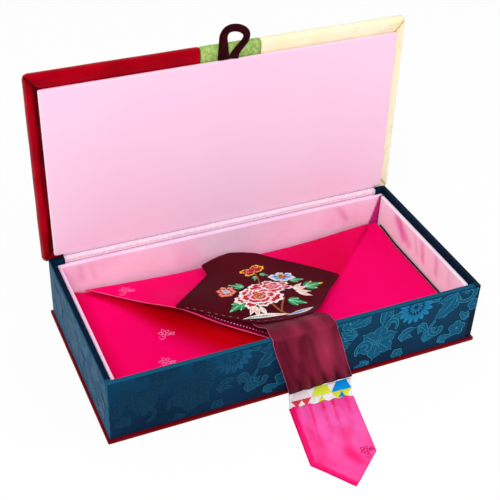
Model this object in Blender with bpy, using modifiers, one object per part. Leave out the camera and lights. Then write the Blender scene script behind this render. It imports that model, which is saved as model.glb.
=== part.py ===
"""Silk gift box with a hinged padded lid and a silk envelope whose sash hangs over the front wall.

Units are metres. X runs along the box, Y from front to back, Z up.
The origin is the centre of the base plate's underside. The lid stands open.
"""
import math

import bmesh
import bpy
from mathutils import Vector

# Shared sheet and clearance sizes
GAP = 0.0003                 # clearance between pieces that touch
CLOTH = 0.0004               # silk on its paper backing
MERGE_DISTANCE = 0.00001     # distance at which doubled vertices are joined
CORNER_STEPS = 4
SHARP_ANGLE = math.radians(35.0)

# Tray
TRAY_WIDTH = 0.260
TRAY_DEPTH = 0.1307
TRAY_HEIGHT = 0.0454
WALL_BOARD = 0.0026
FLOOR_BOARD = 0.0020
TRAY_CORNER = 0.0010
RIM_TURN_IN = 0.014          # navy cloth that runs down inside the walls
FLOOR_TURN_IN = 0.012        # navy cloth that runs in below the floor

# Base plate
PLATE_OVERHANG = 0.0016
PLATE_BOARD = 0.0012
PLATE_TURN_IN = 0.020
PLATE_CORNER = 0.0012

# Lining
LINER_CARD = 0.0016
LINER_BELOW_RIM = 0.0035
LINER_ROUND = 0.0009
LINER_FOLD_STEPS = 3
PAD_CORE = 0.0104
PAD_CLEARANCE = 0.0010
PAD_TURN_IN = 0.020
PAD_CORNER = 0.0012

# Lid, in its own closed place about the hinge line
LID_OVERHANG_SIDE = 0.0036
LID_OVERHANG_FRONT = 0.00315
LID_BACK_MARGIN = 0.0055     # from the hinge line to the back edge
LID_BOARD = 0.0016
LID_FOAM = 0.0020
LID_CROWN = 0.0012
LID_CORNER = 0.0042
LID_TURN_IN = 0.018
LID_SHOULDER = 0.032         # width over which the padded top rises to its crown
LID_SHOULDER_STEPS = 4
LID_EDGE_STEPS = 6
LID_OPEN_ANGLE = math.radians(92.0)
HINGE_ABOVE_RIM = 0.0015
HINGE_STOP_GAP = 0.00045     # between the lid's back margin and the wall when open
RED_SEAM_X = -0.0190
CREAM_SEAM_X = 0.0235

# Lid lining
LINING_BORDER_SIDE = 0.0080
LINING_BORDER_FRONT = 0.0100
LINING_BACK = 0.0003         # from the hinge line to the lining's back edge
LINING_BOARD = 0.0010
LINING_BELOW_HINGE = 0.0002  # how far the closed lining hangs below the hinge line
LINING_EDGE = 0.0006
LINING_CORNER = 0.0010
LINING_TURN_IN = 0.015

# Hinge strips
STRIP_SHORTER = 0.0105       # pink strip, at each end
STRIP_DROP = 0.0030
HINGE_CLOTH_SHORTER = 0.0020
HINGE_CLOTH_HEIGHT = 0.022

# Closure loop
LOOP_WIDTH = 0.0054
LOOP_THICKNESS = 0.0024
LOOP_CREASE_OUT = 0.0008     # from the lid's front edge to the crease
LOOP_START = 0.0005          # from the lining's edge to the sewn ends
LOOP_RESOLUTION = 2
LOOP_ROUTE = (               # x, and distance past the lid's front edge
    (-0.0033, -0.0140), (-0.0032, -0.0085), (-0.0031, -0.0035), (-0.0031, 0.0015), (-0.0030, 0.0059),
    (-0.0013, 0.0094), (0.0021, 0.0110), (0.0070, 0.0103), (0.0111, 0.0079), (0.0127, 0.0046),
    (0.0113, 0.0011), (0.0075, -0.0025), (0.0044, -0.0063), (0.0033, -0.0100), (0.0033, -0.0140),
)

# Envelope
ENVELOPE_SIDE_CLEARANCE = 0.0052
ENVELOPE_FRONT_CLEARANCE = 0.00205
ENVELOPE_BACK_CLEARANCE = 0.00105
SHEET = 0.0007               # satin with its interlining
ENVELOPE_HOLLOW = 0.0007     # between the back panel and the pocket at the edges
POCKET_CROWN = 0.0022
POCKET_POWER = 6
ENVELOPE_CELL = 0.0085
SLIVER_SHARE = 0.05          # of a cell, below which an edge is dropped
BACK_BOW = 0.0045            # how far the back fold bows to the front in the middle
FLAP_SHORT = 0.0060          # from the envelope's front edge to the flap's tip
FLAP_INSET = 0.0012
FLAP_RISE = 0.0085
FLAP_CELL = 0.0080
# Where the flap is raised: place, spread and height, of the envelope's half sizes and FLAP_RISE
FLAP_LIFT_SHARES = (
    (-0.50, 0.10, 0.26, 0.44, 1.00),
    (0.02, -0.28, 0.34, 0.46, 0.65),
    (-0.95, 1.00, 0.35, 0.50, 0.25),
    (0.95, 1.00, 0.35, 0.50, 0.25),
)

# Layers on the flap, outlines as shares of the envelope's half sizes
PATCH_CELL = 0.0065
PATCH_OUTLINE_SHARES = ((0.0, -0.79), (0.48, 0.06), (-0.48, 0.06))
PANEL_LOWER_SHARES = (
    (-0.525, 0.04), (-0.42, -0.14), (-0.29, -0.29), (-0.17, -0.45), (-0.09, -0.61), (-0.01, -0.71),
    (0.08, -0.73), (0.16, -0.66), (0.22, -0.55), (0.30, -0.39), (0.38, -0.21), (0.515, 0.06),
)
PANEL_UPPER_SHARES = (
    (-0.515, 0.08), (-0.38, 0.43), (-0.225, 0.64), (-0.222, 0.82), (-0.03, 0.94), (0.06, 0.90),
    (0.14, 0.82), (0.21, 0.67), (0.30, 0.50), (0.41, 0.28), (0.51, 0.09),
)
PANEL_ROWS = 12
PANEL_COLUMNS = 24
PANEL_CURL = 0.0020
PANEL_CURL_SHARE = 0.60      # of the envelope's half depth, where the curl begins

# Sash
SASH_WIDTH = 0.0455
SASH_SHEET = 0.0007
SASH_TOP_X = -0.0010
SASH_RIM_X = -0.0023
SASH_FOOT_X = 0.0117
SASH_START_SHARE = 0.12      # of the tray's half depth
SASH_RISE_SHARE = 0.31       # of the tray's half depth, in front of which the sash rises
SASH_RIM_RUN = 0.0009        # flat part inside the wall's edge
SASH_SPREAD_INNER = 0.0250   # half width over which the rising sash lifts the panel
SASH_SPREAD_OUTER = 0.0480
SASH_ROWS_INSIDE = 12
SASH_ROWS_OUTSIDE = 10
SASH_COLUMNS = 14
SASH_BEND = 0.0012
SASH_BEND_STEPS = 4
SASH_FOOT_CLEARANCE = 0.0014  # from the plate's edge to the sash's foot
SASH_FOOT_LIFT = 0.0019
PLEAT_DEPTH = 0.0011
PLEAT_COUNT = 4
PLEAT_HEIGHT = 0.0180

# Pieced strip and tail, lying on the table in front of the sash's foot
TABLE_LIFT = 0.0003
BAND_SHEET = 0.0006
BAND_DEPTH = 0.0160          # from the sash's foot to the tail's seam, at its far end
# Corners: x of the sash's width from its foot's middle, y of the strip's depth
BAND_BACK_SHARES = ((-0.516, 0.094), (0.501, 0.131))
BAND_FRONT_SHARES = ((-0.620, 0.762), (0.336, 1.0))
PATCH_SHEET = 0.0004
PATCH_SEAM_SHARE = 0.04      # of the strip's length, round each hexagon
TAIL_SHEET = 0.0007
TAIL_LENGTH = 0.0675
TAIL_RIPPLE = 0.0010
TAIL_RIPPLE_SHARE = 0.5      # of the tail's length, over which the gathers fade
TAIL_COLUMNS = 12
TAIL_ROWS = 14
# Places: x of the sash's width from its foot's middle, y of the tail's length
TAIL_SHOULDER_SHARES = ((-0.800, 0.641), (0.132, 0.698))
TAIL_TIP_SHARES = (-0.411, 1.0)

# Derived heights
WALL = CLOTH + GAP + WALL_BOARD + GAP + CLOTH
LINER = CLOTH + GAP + LINER_CARD + GAP + CLOTH
PLATE_TOP = CLOTH + GAP + PLATE_BOARD + GAP + CLOTH
TRAY_LOW = PLATE_TOP + GAP
RIM = PLATE_TOP + TRAY_HEIGHT
FLOOR_LOW = TRAY_LOW + CLOTH + GAP
FLOOR_TOP = FLOOR_LOW + FLOOR_BOARD
PAD_LOW = FLOOR_TOP + GAP
PAD_TOP = PAD_LOW + CLOTH + GAP + PAD_CORE + GAP + CLOTH
ENVELOPE_LOW = PAD_TOP + GAP
POCKET_EDGE = ENVELOPE_LOW + SHEET + ENVELOPE_HOLLOW + SHEET / 2

# Derived plan sizes
INNER_WIDTH = TRAY_WIDTH - 2 * WALL
INNER_DEPTH = TRAY_DEPTH - 2 * WALL
CAVITY_WIDTH = INNER_WIDTH - 2 * (GAP + LINER)
CAVITY_DEPTH = INNER_DEPTH - 2 * (GAP + LINER)
ENVELOPE_HALF_X = CAVITY_WIDTH / 2 - ENVELOPE_SIDE_CLEARANCE
ENVELOPE_FRONT = -CAVITY_DEPTH / 2 + ENVELOPE_FRONT_CLEARANCE
ENVELOPE_BACK = CAVITY_DEPTH / 2 - ENVELOPE_BACK_CLEARANCE
ENVELOPE_Y = (ENVELOPE_FRONT + ENVELOPE_BACK) / 2
ENVELOPE_HALF_Y = (ENVELOPE_BACK - ENVELOPE_FRONT) / 2
SASH_FALL_Y = -TRAY_DEPTH / 2 - GAP - SASH_SHEET / 2
SASH_FOOT_Y = -TRAY_DEPTH / 2 - PLATE_OVERHANG - SASH_FOOT_CLEARANCE - SASH_SHEET / 2
SASH_RISE_START_Y = -SASH_RISE_SHARE * TRAY_DEPTH / 2
SASH_RISE_END_Y = -INNER_DEPTH / 2 + SASH_RIM_RUN
SASH_RIM_Z = RIM + GAP + SASH_SHEET / 2

# Derived lid places
BORDER = 2 * (CLOTH + GAP) + LINING_BOARD + GAP - LINING_BELOW_HINGE
HINGE_Y = TRAY_DEPTH / 2 + GAP + CLOTH + HINGE_STOP_GAP - BORDER
HINGE_Z = RIM + HINGE_ABOVE_RIM
LID_WIDTH = TRAY_WIDTH + 2 * LID_OVERHANG_SIDE
LID_REACH = HINGE_Y + TRAY_DEPTH / 2 + LID_OVERHANG_FRONT
LID_TOP = BORDER + CLOTH + GAP + LID_BOARD + GAP + LID_FOAM + GAP + CLOTH
LID_MIDDLE_Y = (LID_BACK_MARGIN - LID_REACH) / 2
LID_DEPTH = LID_REACH + LID_BACK_MARGIN
LINING_WIDTH = LID_WIDTH - 2 * LINING_BORDER_SIDE
LINING_REACH = LID_REACH - LINING_BORDER_FRONT
CREASE_REACH = LID_REACH + LOOP_CREASE_OUT
LOOP_MIDDLE_Z = BORDER - GAP - LOOP_THICKNESS / 2
CREASE_Z = LOOP_MIDDLE_Z - LOOP_THICKNESS / 2

# Colours
RED = (0.42, 0.0, 0.006)
NAVY = (0.006, 0.055, 0.10)
PINK = (0.90, 0.48, 0.66)
PALE_PINK = (0.93, 0.60, 0.79)
CARD = (0.42, 0.40, 0.36)
FOAM = (0.85, 0.84, 0.80)
GREEN = (0.42, 0.66, 0.19)
CREAM = (0.93, 0.88, 0.58)
MAGENTA = (0.90, 0.0, 0.11)
MAROON = (0.12, 0.007, 0.022)
DARK_MAROON = (0.045, 0.003, 0.008)
HOT_PINK = (1.0, 0.03, 0.25)
WHITE = (0.90, 0.90, 0.88)
YELLOW_GREEN = (0.80, 0.95, 0.05)
BLUE = (0.0, 0.28, 0.85)
CORAL = (0.85, 0.06, 0.06)
SILK_ROUGHNESS = 0.42
CARD_ROUGHNESS = 0.90


def clear_scene():
    for item in list(bpy.data.objects):
        bpy.data.objects.remove(item, do_unlink=True)


def new_collection(name):
    made = bpy.data.collections.new(name)
    bpy.context.scene.collection.children.link(made)
    return made


def finish(name):
    """Principled material with the piece's colour and roughness."""
    colour, roughness = FINISHES[name]
    made = bpy.data.materials.new(name)
    made.use_nodes = True
    shader = made.node_tree.nodes["Principled BSDF"]
    shader.inputs["Base Color"].default_value = (*colour, 1.0)
    shader.inputs["Roughness"].default_value = roughness
    shader.inputs["Metallic"].default_value = 0.0
    return made


def object_from_bmesh(name, work, parent=None, smooth=False):
    """Turns a bmesh into an object of the box, with its own material."""
    bmesh.ops.recalc_face_normals(work, faces=work.faces)
    return add_piece(name, work, parent, smooth)


def add_piece(name, work, parent=None, smooth=False):
    """Adds a mesh to the box as it is, with its own material."""
    mesh = bpy.data.meshes.new(name)
    work.to_mesh(mesh)
    work.free()
    made = bpy.data.objects.new(name, mesh)
    PARTS.objects.link(made)
    mesh.materials.append(finish(name))
    if smooth:
        mesh.shade_smooth()
        mesh.set_sharp_from_angle(angle=SHARP_ANGLE)
    made.parent = parent
    return made


def thicken(made, thickness):
    """Gives an open skin its thickness, on the inner side of its faces."""
    solid = made.modifiers.new("thickness", "SOLIDIFY")
    solid.thickness = thickness
    solid.offset = -1.0
    solid.use_even_offset = True
    return made


def box(name, low, high, parent=None):
    """A plain board between two corners."""
    work = bmesh.new()
    bmesh.ops.create_cube(work, size=1.0)
    size = Vector(high) - Vector(low)
    middle = (Vector(high) + Vector(low)) / 2
    bmesh.ops.scale(work, vec=size, verts=work.verts)
    bmesh.ops.translate(work, vec=middle, verts=work.verts)
    return object_from_bmesh(name, work, parent)


def rounded_rectangle(width, depth, radius):
    """Corner points of a rectangle with round corners, counter-clockwise."""
    points = []
    for quarter, (sx, sy) in enumerate(((1, 1), (-1, 1), (-1, -1), (1, -1))):
        middle = (sx * (width / 2 - radius), sy * (depth / 2 - radius))
        for step in range(CORNER_STEPS + 1):
            angle = math.pi / 2 * (quarter + step / CORNER_STEPS)
            points.append((middle[0] + radius * math.cos(angle), middle[1] + radius * math.sin(angle)))
    return points


def loft(work, sections, close_last=False):
    """Skin through rectangles given as (inset, height), each with round corners."""
    width, depth, radius, middle_y, rows = sections
    rings = []
    for inset, height in rows:
        corner = max(radius - inset, radius / CORNER_STEPS)
        outline = rounded_rectangle(width - 2 * inset, depth - 2 * inset, corner)
        rings.append([work.verts.new((x, y + middle_y, height)) for x, y in outline])
    for lower, upper in zip(rings, rings[1:]):
        for index in range(len(lower)):
            after = (index + 1) % len(lower)
            work.faces.new((lower[index], lower[after], upper[after], upper[index]))
    if close_last:
        work.faces.new(rings[-1])
    return rings


def wrap(name, sections, parent=None, close_last=False, limits=None):
    """Cloth wrapped round a board: a lofted skin, cut at its seams, with a thickness."""
    work = bmesh.new()
    loft(work, sections, close_last)
    bmesh.ops.recalc_face_normals(work, faces=work.faces)
    if limits:
        for place, side in zip(limits, (-1, 1)):
            if place is None:
                continue
            parts = work.verts[:] + work.edges[:] + work.faces[:]
            bmesh.ops.bisect_plane(work, geom=parts, plane_co=(place, 0, 0), plane_no=(side, 0, 0),
                                   clear_outer=True)
    return thicken(add_piece(name, work, parent, smooth=True), CLOTH)


def folded_strip(name, profile, low_x, high_x, thickness, turned=False, bend=0.0):
    """A strip folded along straight lines: an open profile, extruded and thickened."""
    work = bmesh.new()
    ends = []
    for place in (low_x, high_x):
        if turned:
            ends.append([work.verts.new((across, place, height)) for across, height in profile])
        else:
            ends.append([work.verts.new((place, across, height)) for across, height in profile])
    for index in range(len(profile) - 1):
        first, second = ends
        work.faces.new((first[index], second[index], second[index + 1], first[index + 1]))
    made = add_piece(name, work)
    if bend:
        rounding = made.modifiers.new("folds", "BEVEL")
        rounding.width = bend
        rounding.segments = LINER_FOLD_STEPS
        rounding.limit_method = "ANGLE"
    return thicken(made, thickness)


def smoothstep(value):
    value = min(max(value, 0.0), 1.0)
    return value * value * (3 - 2 * value)


def sheet_from_grid(name, points, thickness, parent=None):
    """Closed sheet through a grid of middle points, given as rows of vectors."""
    rows, columns = len(points), len(points[0])

    def normal_at(row, column):
        along = points[min(row + 1, rows - 1)][column] - points[max(row - 1, 0)][column]
        across = points[row][min(column + 1, columns - 1)] - points[row][max(column - 1, 0)]
        return along.cross(across).normalized()

    work = bmesh.new()
    sides = []
    for sign in (1, -1):
        side = []
        for row in range(rows):
            side.append([work.verts.new(points[row][column] + normal_at(row, column) * sign * thickness / 2)
                         for column in range(columns)])
        sides.append(side)
    for side in sides:
        for row in range(rows - 1):
            for column in range(columns - 1):
                work.faces.new((side[row][column], side[row][column + 1],
                                side[row + 1][column + 1], side[row + 1][column]))
    border = [(0, column) for column in range(columns)]
    border += [(row, columns - 1) for row in range(1, rows)]
    border += [(rows - 1, column) for column in range(columns - 2, -1, -1)]
    border += [(row, 0) for row in range(rows - 2, 0, -1)]
    for here, there in zip(border, border[1:] + border[:1]):
        work.faces.new((sides[0][here[0]][here[1]], sides[0][there[0]][there[1]],
                        sides[1][there[0]][there[1]], sides[1][here[0]][here[1]]))
    return object_from_bmesh(name, work, parent, smooth=True)


def draped_sheet(name, outline, height, cell, thickness):
    """Closed sheet with a straight-sided outline, laid over a height field."""
    xs = [x for x, y in outline]
    ys = [y for x, y in outline]
    middle = Vector(((min(xs) + max(xs)) / 2, (min(ys) + max(ys)) / 2, 0))
    width, depth = max(xs) - min(xs), max(ys) - min(ys)
    work = bmesh.new()
    bmesh.ops.create_grid(work, x_segments=math.ceil(width / cell), y_segments=math.ceil(depth / cell),
                          size=0.5)
    bmesh.ops.scale(work, vec=(width + cell, depth + cell, 1), verts=work.verts)
    bmesh.ops.translate(work, vec=middle, verts=work.verts)
    for start, end in zip(outline, outline[1:] + outline[:1]):
        run = Vector((end[0] - start[0], end[1] - start[1], 0))
        outward = Vector((run.y, -run.x, 0))
        parts = work.verts[:] + work.edges[:] + work.faces[:]
        bmesh.ops.bisect_plane(work, geom=parts, plane_co=(start[0], start[1], 0), plane_no=outward,
                               clear_outer=True)
    bmesh.ops.dissolve_degenerate(work, dist=cell * SLIVER_SHARE, edges=work.edges)
    top = work.faces[:]
    lower = {vert: work.verts.new((vert.co.x, vert.co.y, vert.co.z)) for vert in work.verts[:]}
    rim_edges = [edge for edge in work.edges if edge.is_boundary]
    for face in top:
        work.faces.new([lower[vert] for vert in reversed(face.verts)])
    for edge in rim_edges:
        first, second = edge.verts
        work.faces.new((first, second, lower[second], lower[first]))
    for upper_vert, lower_vert in lower.items():
        x, y = upper_vert.co.x, upper_vert.co.y
        level = height(x, y)
        upper_vert.co = (x, back_bow(x, y), level + thickness / 2)
        lower_vert.co = (x, back_bow(x, y), level - thickness / 2)
    return object_from_bmesh(name, work, smooth=True)


def make_base():
    width = TRAY_WIDTH + 2 * PLATE_OVERHANG
    depth = TRAY_DEPTH + 2 * PLATE_OVERHANG
    rows = ((width / 4, 0), (0, 0), (0, PLATE_TOP), (PLATE_TURN_IN, PLATE_TOP))
    work = bmesh.new()
    rings = loft(work, (width, depth, PLATE_CORNER, 0, rows))
    work.faces.new(rings[0])
    bmesh.ops.recalc_face_normals(work, faces=work.faces)
    thicken(add_piece("base_cloth", work, smooth=True), CLOTH)
    reach = CLOTH + GAP
    box("base_board", (-width / 2 + reach, -depth / 2 + reach, reach),
        (width / 2 - reach, depth / 2 - reach, reach + PLATE_BOARD))


def make_tray():
    rows = ((FLOOR_TURN_IN, TRAY_LOW), (0, TRAY_LOW), (0, RIM), (WALL, RIM), (WALL, RIM - RIM_TURN_IN))
    wrap("tray_cloth", (TRAY_WIDTH, TRAY_DEPTH, TRAY_CORNER, 0, rows))
    outer = CLOTH + GAP
    half_x, half_y = TRAY_WIDTH / 2 - outer, TRAY_DEPTH / 2 - outer
    low, high = FLOOR_LOW, RIM - outer
    inner_x, inner_y = half_x - WALL_BOARD, half_y - WALL_BOARD
    box("tray_front_board", (-half_x, -half_y, low), (half_x, -inner_y, high))
    box("tray_back_board", (-half_x, inner_y, low), (half_x, half_y, high))
    box("tray_left_board", (-half_x, -inner_y + GAP, low), (-inner_x, inner_y - GAP, high))
    box("tray_right_board", (inner_x, -inner_y + GAP, low), (half_x, inner_y - GAP, high))
    box("tray_floor_board", (-inner_x + GAP, -inner_y + GAP, low), (inner_x - GAP, inner_y - GAP, FLOOR_TOP))


def make_liner():
    """Four card strips, each with its pink silk folded over the top."""
    low = FLOOR_TOP + GAP
    top = RIM - LINER_BELOW_RIM
    outer = CLOTH + GAP
    seat_x, seat_y = INNER_WIDTH / 2 - GAP, INNER_DEPTH / 2 - GAP
    end_x = seat_x
    end_y = seat_y - LINER - GAP
    for name, seat, end, turned in (("front", -seat_y, end_x, False), ("back", seat_y, end_x, False),
                                    ("left", -seat_x, end_y, True), ("right", seat_x, end_y, True)):
        inward = 1 if seat < 0 else -1
        near, far = seat, seat + inward * LINER
        profile = ((near, low), (near, top), (far, top), (far, low))
        if (inward < 0) != turned:
            profile = profile[::-1]
        folded_strip("liner_silk_" + name, profile, -end, end, CLOTH, turned, LINER_ROUND)
        card = sorted((near + inward * outer, far - inward * outer))
        if turned:
            box("liner_card_" + name, (card[0], -end, low), (card[1], end, top - outer))
        else:
            box("liner_card_" + name, (-end, card[0], low), (end, card[1], top - outer))


def make_pad():
    width, depth = CAVITY_WIDTH - 2 * PAD_CLEARANCE, CAVITY_DEPTH - 2 * PAD_CLEARANCE
    rows = ((PAD_TURN_IN, PAD_LOW), (0, PAD_LOW), (0, PAD_TOP))
    wrap("floor_pad_cover", (width, depth, PAD_CORNER, 0, rows), close_last=True)
    reach = CLOTH + GAP
    box("floor_pad_core", (-width / 2 + reach, -depth / 2 + reach, PAD_LOW + reach),
        (width / 2 - reach, depth / 2 - reach, PAD_TOP - reach))


def make_hinge_strips():
    back, inner = TRAY_DEPTH / 2, TRAY_DEPTH / 2 - WALL
    over = GAP + CLOTH
    profile = ((inner - over, RIM - STRIP_DROP), (inner - over, RIM + over), (back - GAP, RIM + over))
    strip_end = TRAY_WIDTH / 2 - STRIP_SHORTER
    folded_strip("hinge_strip", profile, -strip_end, strip_end, CLOTH)
    cloth_end = TRAY_WIDTH / 2 - HINGE_CLOTH_SHORTER
    box("hinge_cloth", (-cloth_end, back + GAP, RIM - HINGE_CLOTH_HEIGHT),
        (cloth_end, back + over, RIM - GAP))


def make_lid(hinge):
    """Padded lid, modelled closed about its hinge line and carried open by the hinge's turn."""
    half = (LID_TOP - BORDER) / 2
    rows = [(LID_TURN_IN, BORDER)]
    for step in range(LID_EDGE_STEPS + 1):
        angle = -math.pi / 2 + math.pi * step / LID_EDGE_STEPS
        rows.append((half - half * math.cos(angle), BORDER + half + half * math.sin(angle)))
    for step in range(1, LID_SHOULDER_STEPS + 1):
        share = step / LID_SHOULDER_STEPS
        crown = LID_CROWN * math.sin(share * math.pi / 2)
        rows.append((half + (LID_SHOULDER - half) * share, LID_TOP + crown))
    sections = (LID_WIDTH, LID_DEPTH, LID_CORNER, LID_MIDDLE_Y, rows)
    wrap("lid_silk_red", sections, hinge, True, (None, RED_SEAM_X - GAP / 2))
    wrap("lid_silk_green", sections, hinge, True, (RED_SEAM_X + GAP / 2, CREAM_SEAM_X - GAP / 2))
    wrap("lid_silk_cream", sections, hinge, True, (CREAM_SEAM_X + GAP / 2, None))

    board_low = BORDER + CLOTH + GAP
    board_half = LID_WIDTH / 2 - half
    board_front, board_back = -LID_REACH + half, LID_BACK_MARGIN - half
    board_top = board_low + LID_BOARD
    box("lid_board", (-board_half, board_front, board_low), (board_half, board_back, board_top), hinge)
    foam_low = board_top + GAP
    foam_top = foam_low + LID_FOAM
    box("lid_foam", (-board_half, board_front, foam_low), (board_half, board_back, foam_top), hinge)


def make_lining(hinge):
    low = -LINING_BELOW_HINGE
    high = BORDER - GAP
    depth = LINING_REACH - LINING_BACK
    middle_y = -(LINING_REACH + LINING_BACK) / 2
    rows = ((LINING_TURN_IN, high), (0, high), (0, low + LINING_EDGE), (LINING_EDGE, low))
    wrap("lining_silk", (LINING_WIDTH, depth, LINING_CORNER, middle_y, rows), hinge, close_last=True)
    reach = CLOTH + GAP
    box("lining_board", (-LINING_WIDTH / 2 + reach, middle_y - depth / 2 + reach, low + reach),
        (LINING_WIDTH / 2 - reach, middle_y + depth / 2 - reach, low + reach + LINING_BOARD), hinge)


def loop_body():
    """One fabric tube through the loop's points, pressed flat."""
    curve = bpy.data.curves.new("loop_route", "CURVE")
    curve.dimensions = "3D"
    curve.bevel_depth = LOOP_WIDTH / 2
    curve.bevel_resolution = LOOP_RESOLUTION
    curve.use_fill_caps = True
    spline = curve.splines.new("POLY")
    places = smooth_route(LOOP_ROUTE)
    spline.points.add(len(places) - 1)
    for point, (x, past_edge) in zip(spline.points, places):
        point.co = (x, -LID_REACH - past_edge, 0, 1)
    guide = bpy.data.objects.new("loop_route", curve)
    CUTTERS.objects.link(guide)
    bpy.context.view_layer.update()
    evaluated = guide.evaluated_get(bpy.context.evaluated_depsgraph_get())
    mesh = bpy.data.meshes.new_from_object(evaluated)
    work = bmesh.new()
    work.from_mesh(mesh)
    bmesh.ops.remove_doubles(work, verts=work.verts, dist=MERGE_DISTANCE)
    bmesh.ops.scale(work, vec=(1, 1, LOOP_THICKNESS / LOOP_WIDTH), verts=work.verts)
    bmesh.ops.translate(work, vec=(0, 0, LOOP_MIDDLE_Z), verts=work.verts)
    bpy.data.objects.remove(guide, do_unlink=True)
    return work


def smooth_route(points):
    """Smooth curve through the route's own points, with middle points between them."""
    route = []
    for index in range(len(points) - 1):
        before = points[max(index - 1, 0)]
        here, there = points[index], points[index + 1]
        after = points[min(index + 2, len(points) - 1)]
        route.append(here)
        route.append(tuple((9 * (b + c) - a - d) / 16 for a, b, c, d in zip(before, here, there, after)))
    route.append(points[-1])
    return route


def cut_away(work, place, normal):
    """Cuts the mesh square at a plane and closes the cut."""
    parts = work.verts[:] + work.edges[:] + work.faces[:]
    bmesh.ops.bisect_plane(work, geom=parts, plane_co=place, plane_no=normal, clear_outer=True)
    open_edges = [edge for edge in work.edges if edge.is_boundary]
    bmesh.ops.holes_fill(work, edges=open_edges, sides=0)


def make_loop(hinge):
    crease = bpy.data.objects.new("loop_crease", None)
    PARTS.objects.link(crease)
    crease.parent = hinge
    crease.location = (0, -CREASE_REACH, CREASE_Z)
    legs_middle = (LOOP_ROUTE[0][0] + LOOP_ROUTE[-1][0]) / 2
    sewn_end = -LINING_REACH - LOOP_START
    for name, side in (("loop_leg_left", 1), ("loop_leg_right", -1)):
        work = loop_body()
        cut_away(work, (0, -CREASE_REACH + GAP / 2, 0), (0, -1, 0))
        cut_away(work, (0, sewn_end, 0), (0, 1, 0))
        cut_away(work, (legs_middle, 0, 0), (side, 0, 0))
        object_from_bmesh(name, work, hinge, smooth=True)
    work = loop_body()
    cut_away(work, (0, -CREASE_REACH - GAP / 2, 0), (0, 1, 0))
    bmesh.ops.translate(work, vec=(0, CREASE_REACH, -CREASE_Z), verts=work.verts)
    object_from_bmesh("closure_loop", work, crease, smooth=True)


def pocket_height(x, y):
    """Middle height of the pocket's sheet, crowned towards its middle."""
    across = min(abs(x / ENVELOPE_HALF_X), 1)
    along = min(abs((y - ENVELOPE_Y) / ENVELOPE_HALF_Y), 1)
    return POCKET_EDGE + POCKET_CROWN * (1 - across ** POCKET_POWER) * (1 - along ** POCKET_POWER)


def flap_height(x, y):
    """Middle height of the flap's sheet: it lies on the pocket and puffs up where it is raised."""
    level = pocket_height(x, y) + SHEET + GAP
    for x_share, y_share, spread_x_share, spread_y_share, rise_share in FLAP_LIFT_SHARES:
        across = (x / ENVELOPE_HALF_X - x_share) / spread_x_share
        along = ((y - ENVELOPE_Y) / ENVELOPE_HALF_Y - y_share) / spread_y_share
        level += FLAP_RISE * rise_share * math.exp(-across ** 2 - along ** 2)
    return level


def patch_height(x, y):
    """Middle height of the dark patch on the flap's tip."""
    return flap_height(x, y) + SHEET + GAP


def sash_height(x, y):
    """Middle height of the sash's sheet inside the tray, and of its surface carried on to both sides."""
    lying = patch_height(x, y) + SHEET / 2 + GAP + SASH_SHEET / 2
    share = smoothstep((y - SASH_RISE_START_Y) / (SASH_RISE_END_Y - SASH_RISE_START_Y))
    beside = abs(x - SASH_TOP_X) - SASH_SPREAD_INNER
    spread = 1 - smoothstep(beside / (SASH_SPREAD_OUTER - SASH_SPREAD_INNER))
    return lying + share * spread * (SASH_RIM_Z - lying)


def panel_height(x, y):
    """Middle height of the embroidered panel, which lies on the sash and curls up at the back."""
    along = (y - ENVELOPE_Y) / ENVELOPE_HALF_Y
    curl = smoothstep((along - PANEL_CURL_SHARE) / (1 - PANEL_CURL_SHARE))
    return sash_height(x, y) + SASH_SHEET / 2 + GAP + SHEET / 2 + PANEL_CURL * curl


def back_bow(x, y):
    """Plan place of a point of the envelope, whose back fold bows to the front in its middle."""
    along = (y - ENVELOPE_FRONT) / (ENVELOPE_BACK - ENVELOPE_FRONT)
    return y - BACK_BOW * (1 - (x / ENVELOPE_HALF_X) ** 2) * along ** 2


def envelope_place(x_share, y_share):
    return ENVELOPE_HALF_X * x_share, ENVELOPE_Y + ENVELOPE_HALF_Y * y_share


def make_envelope():
    corners = [envelope_place(*shares) for shares in ((-1, -1), (1, -1), (1, 1), (-1, 1))]
    draped_sheet("envelope_back", corners, lambda x, y: ENVELOPE_LOW + SHEET / 2, ENVELOPE_CELL, SHEET)
    draped_sheet("envelope_pocket", corners, pocket_height, ENVELOPE_CELL, SHEET)
    flap_x, flap_y = ENVELOPE_HALF_X - FLAP_INSET, ENVELOPE_BACK - FLAP_INSET
    flap = [(0, ENVELOPE_FRONT + FLAP_SHORT), (flap_x, flap_y), (-flap_x, flap_y)]
    draped_sheet("envelope_flap", flap, flap_height, FLAP_CELL, SHEET)
    patch = [envelope_place(*shares) for shares in PATCH_OUTLINE_SHARES]
    draped_sheet("tip_patch", patch, patch_height, PATCH_CELL, SHEET)


def make_panel():
    """Embroidered panel, spanned between its lower and its upper edge."""
    lower = even_route([envelope_place(*shares) for shares in PANEL_LOWER_SHARES], PANEL_COLUMNS)
    upper = even_route([envelope_place(*shares) for shares in PANEL_UPPER_SHARES], PANEL_COLUMNS)
    points = []
    for row in range(PANEL_ROWS + 1):
        places = [between(low, high, row / PANEL_ROWS) for low, high in zip(lower, upper)]
        points.append([Vector((x, y, panel_height(x, y))) for x, y in places])
    sheet_from_grid("embroidered_panel", points, SHEET)


def even_route(points, steps):
    """Places at equal distances along a route of straight runs."""
    lengths = [math.dist(here, there) for here, there in zip(points, points[1:])]
    places = []
    for step in range(steps + 1):
        left = sum(lengths) * step / steps
        for index, length in enumerate(lengths):
            if left <= length or index == len(lengths) - 1:
                places.append(between(points[index], points[index + 1], min(left / length, 1)))
                break
            left -= length
    return places


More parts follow.
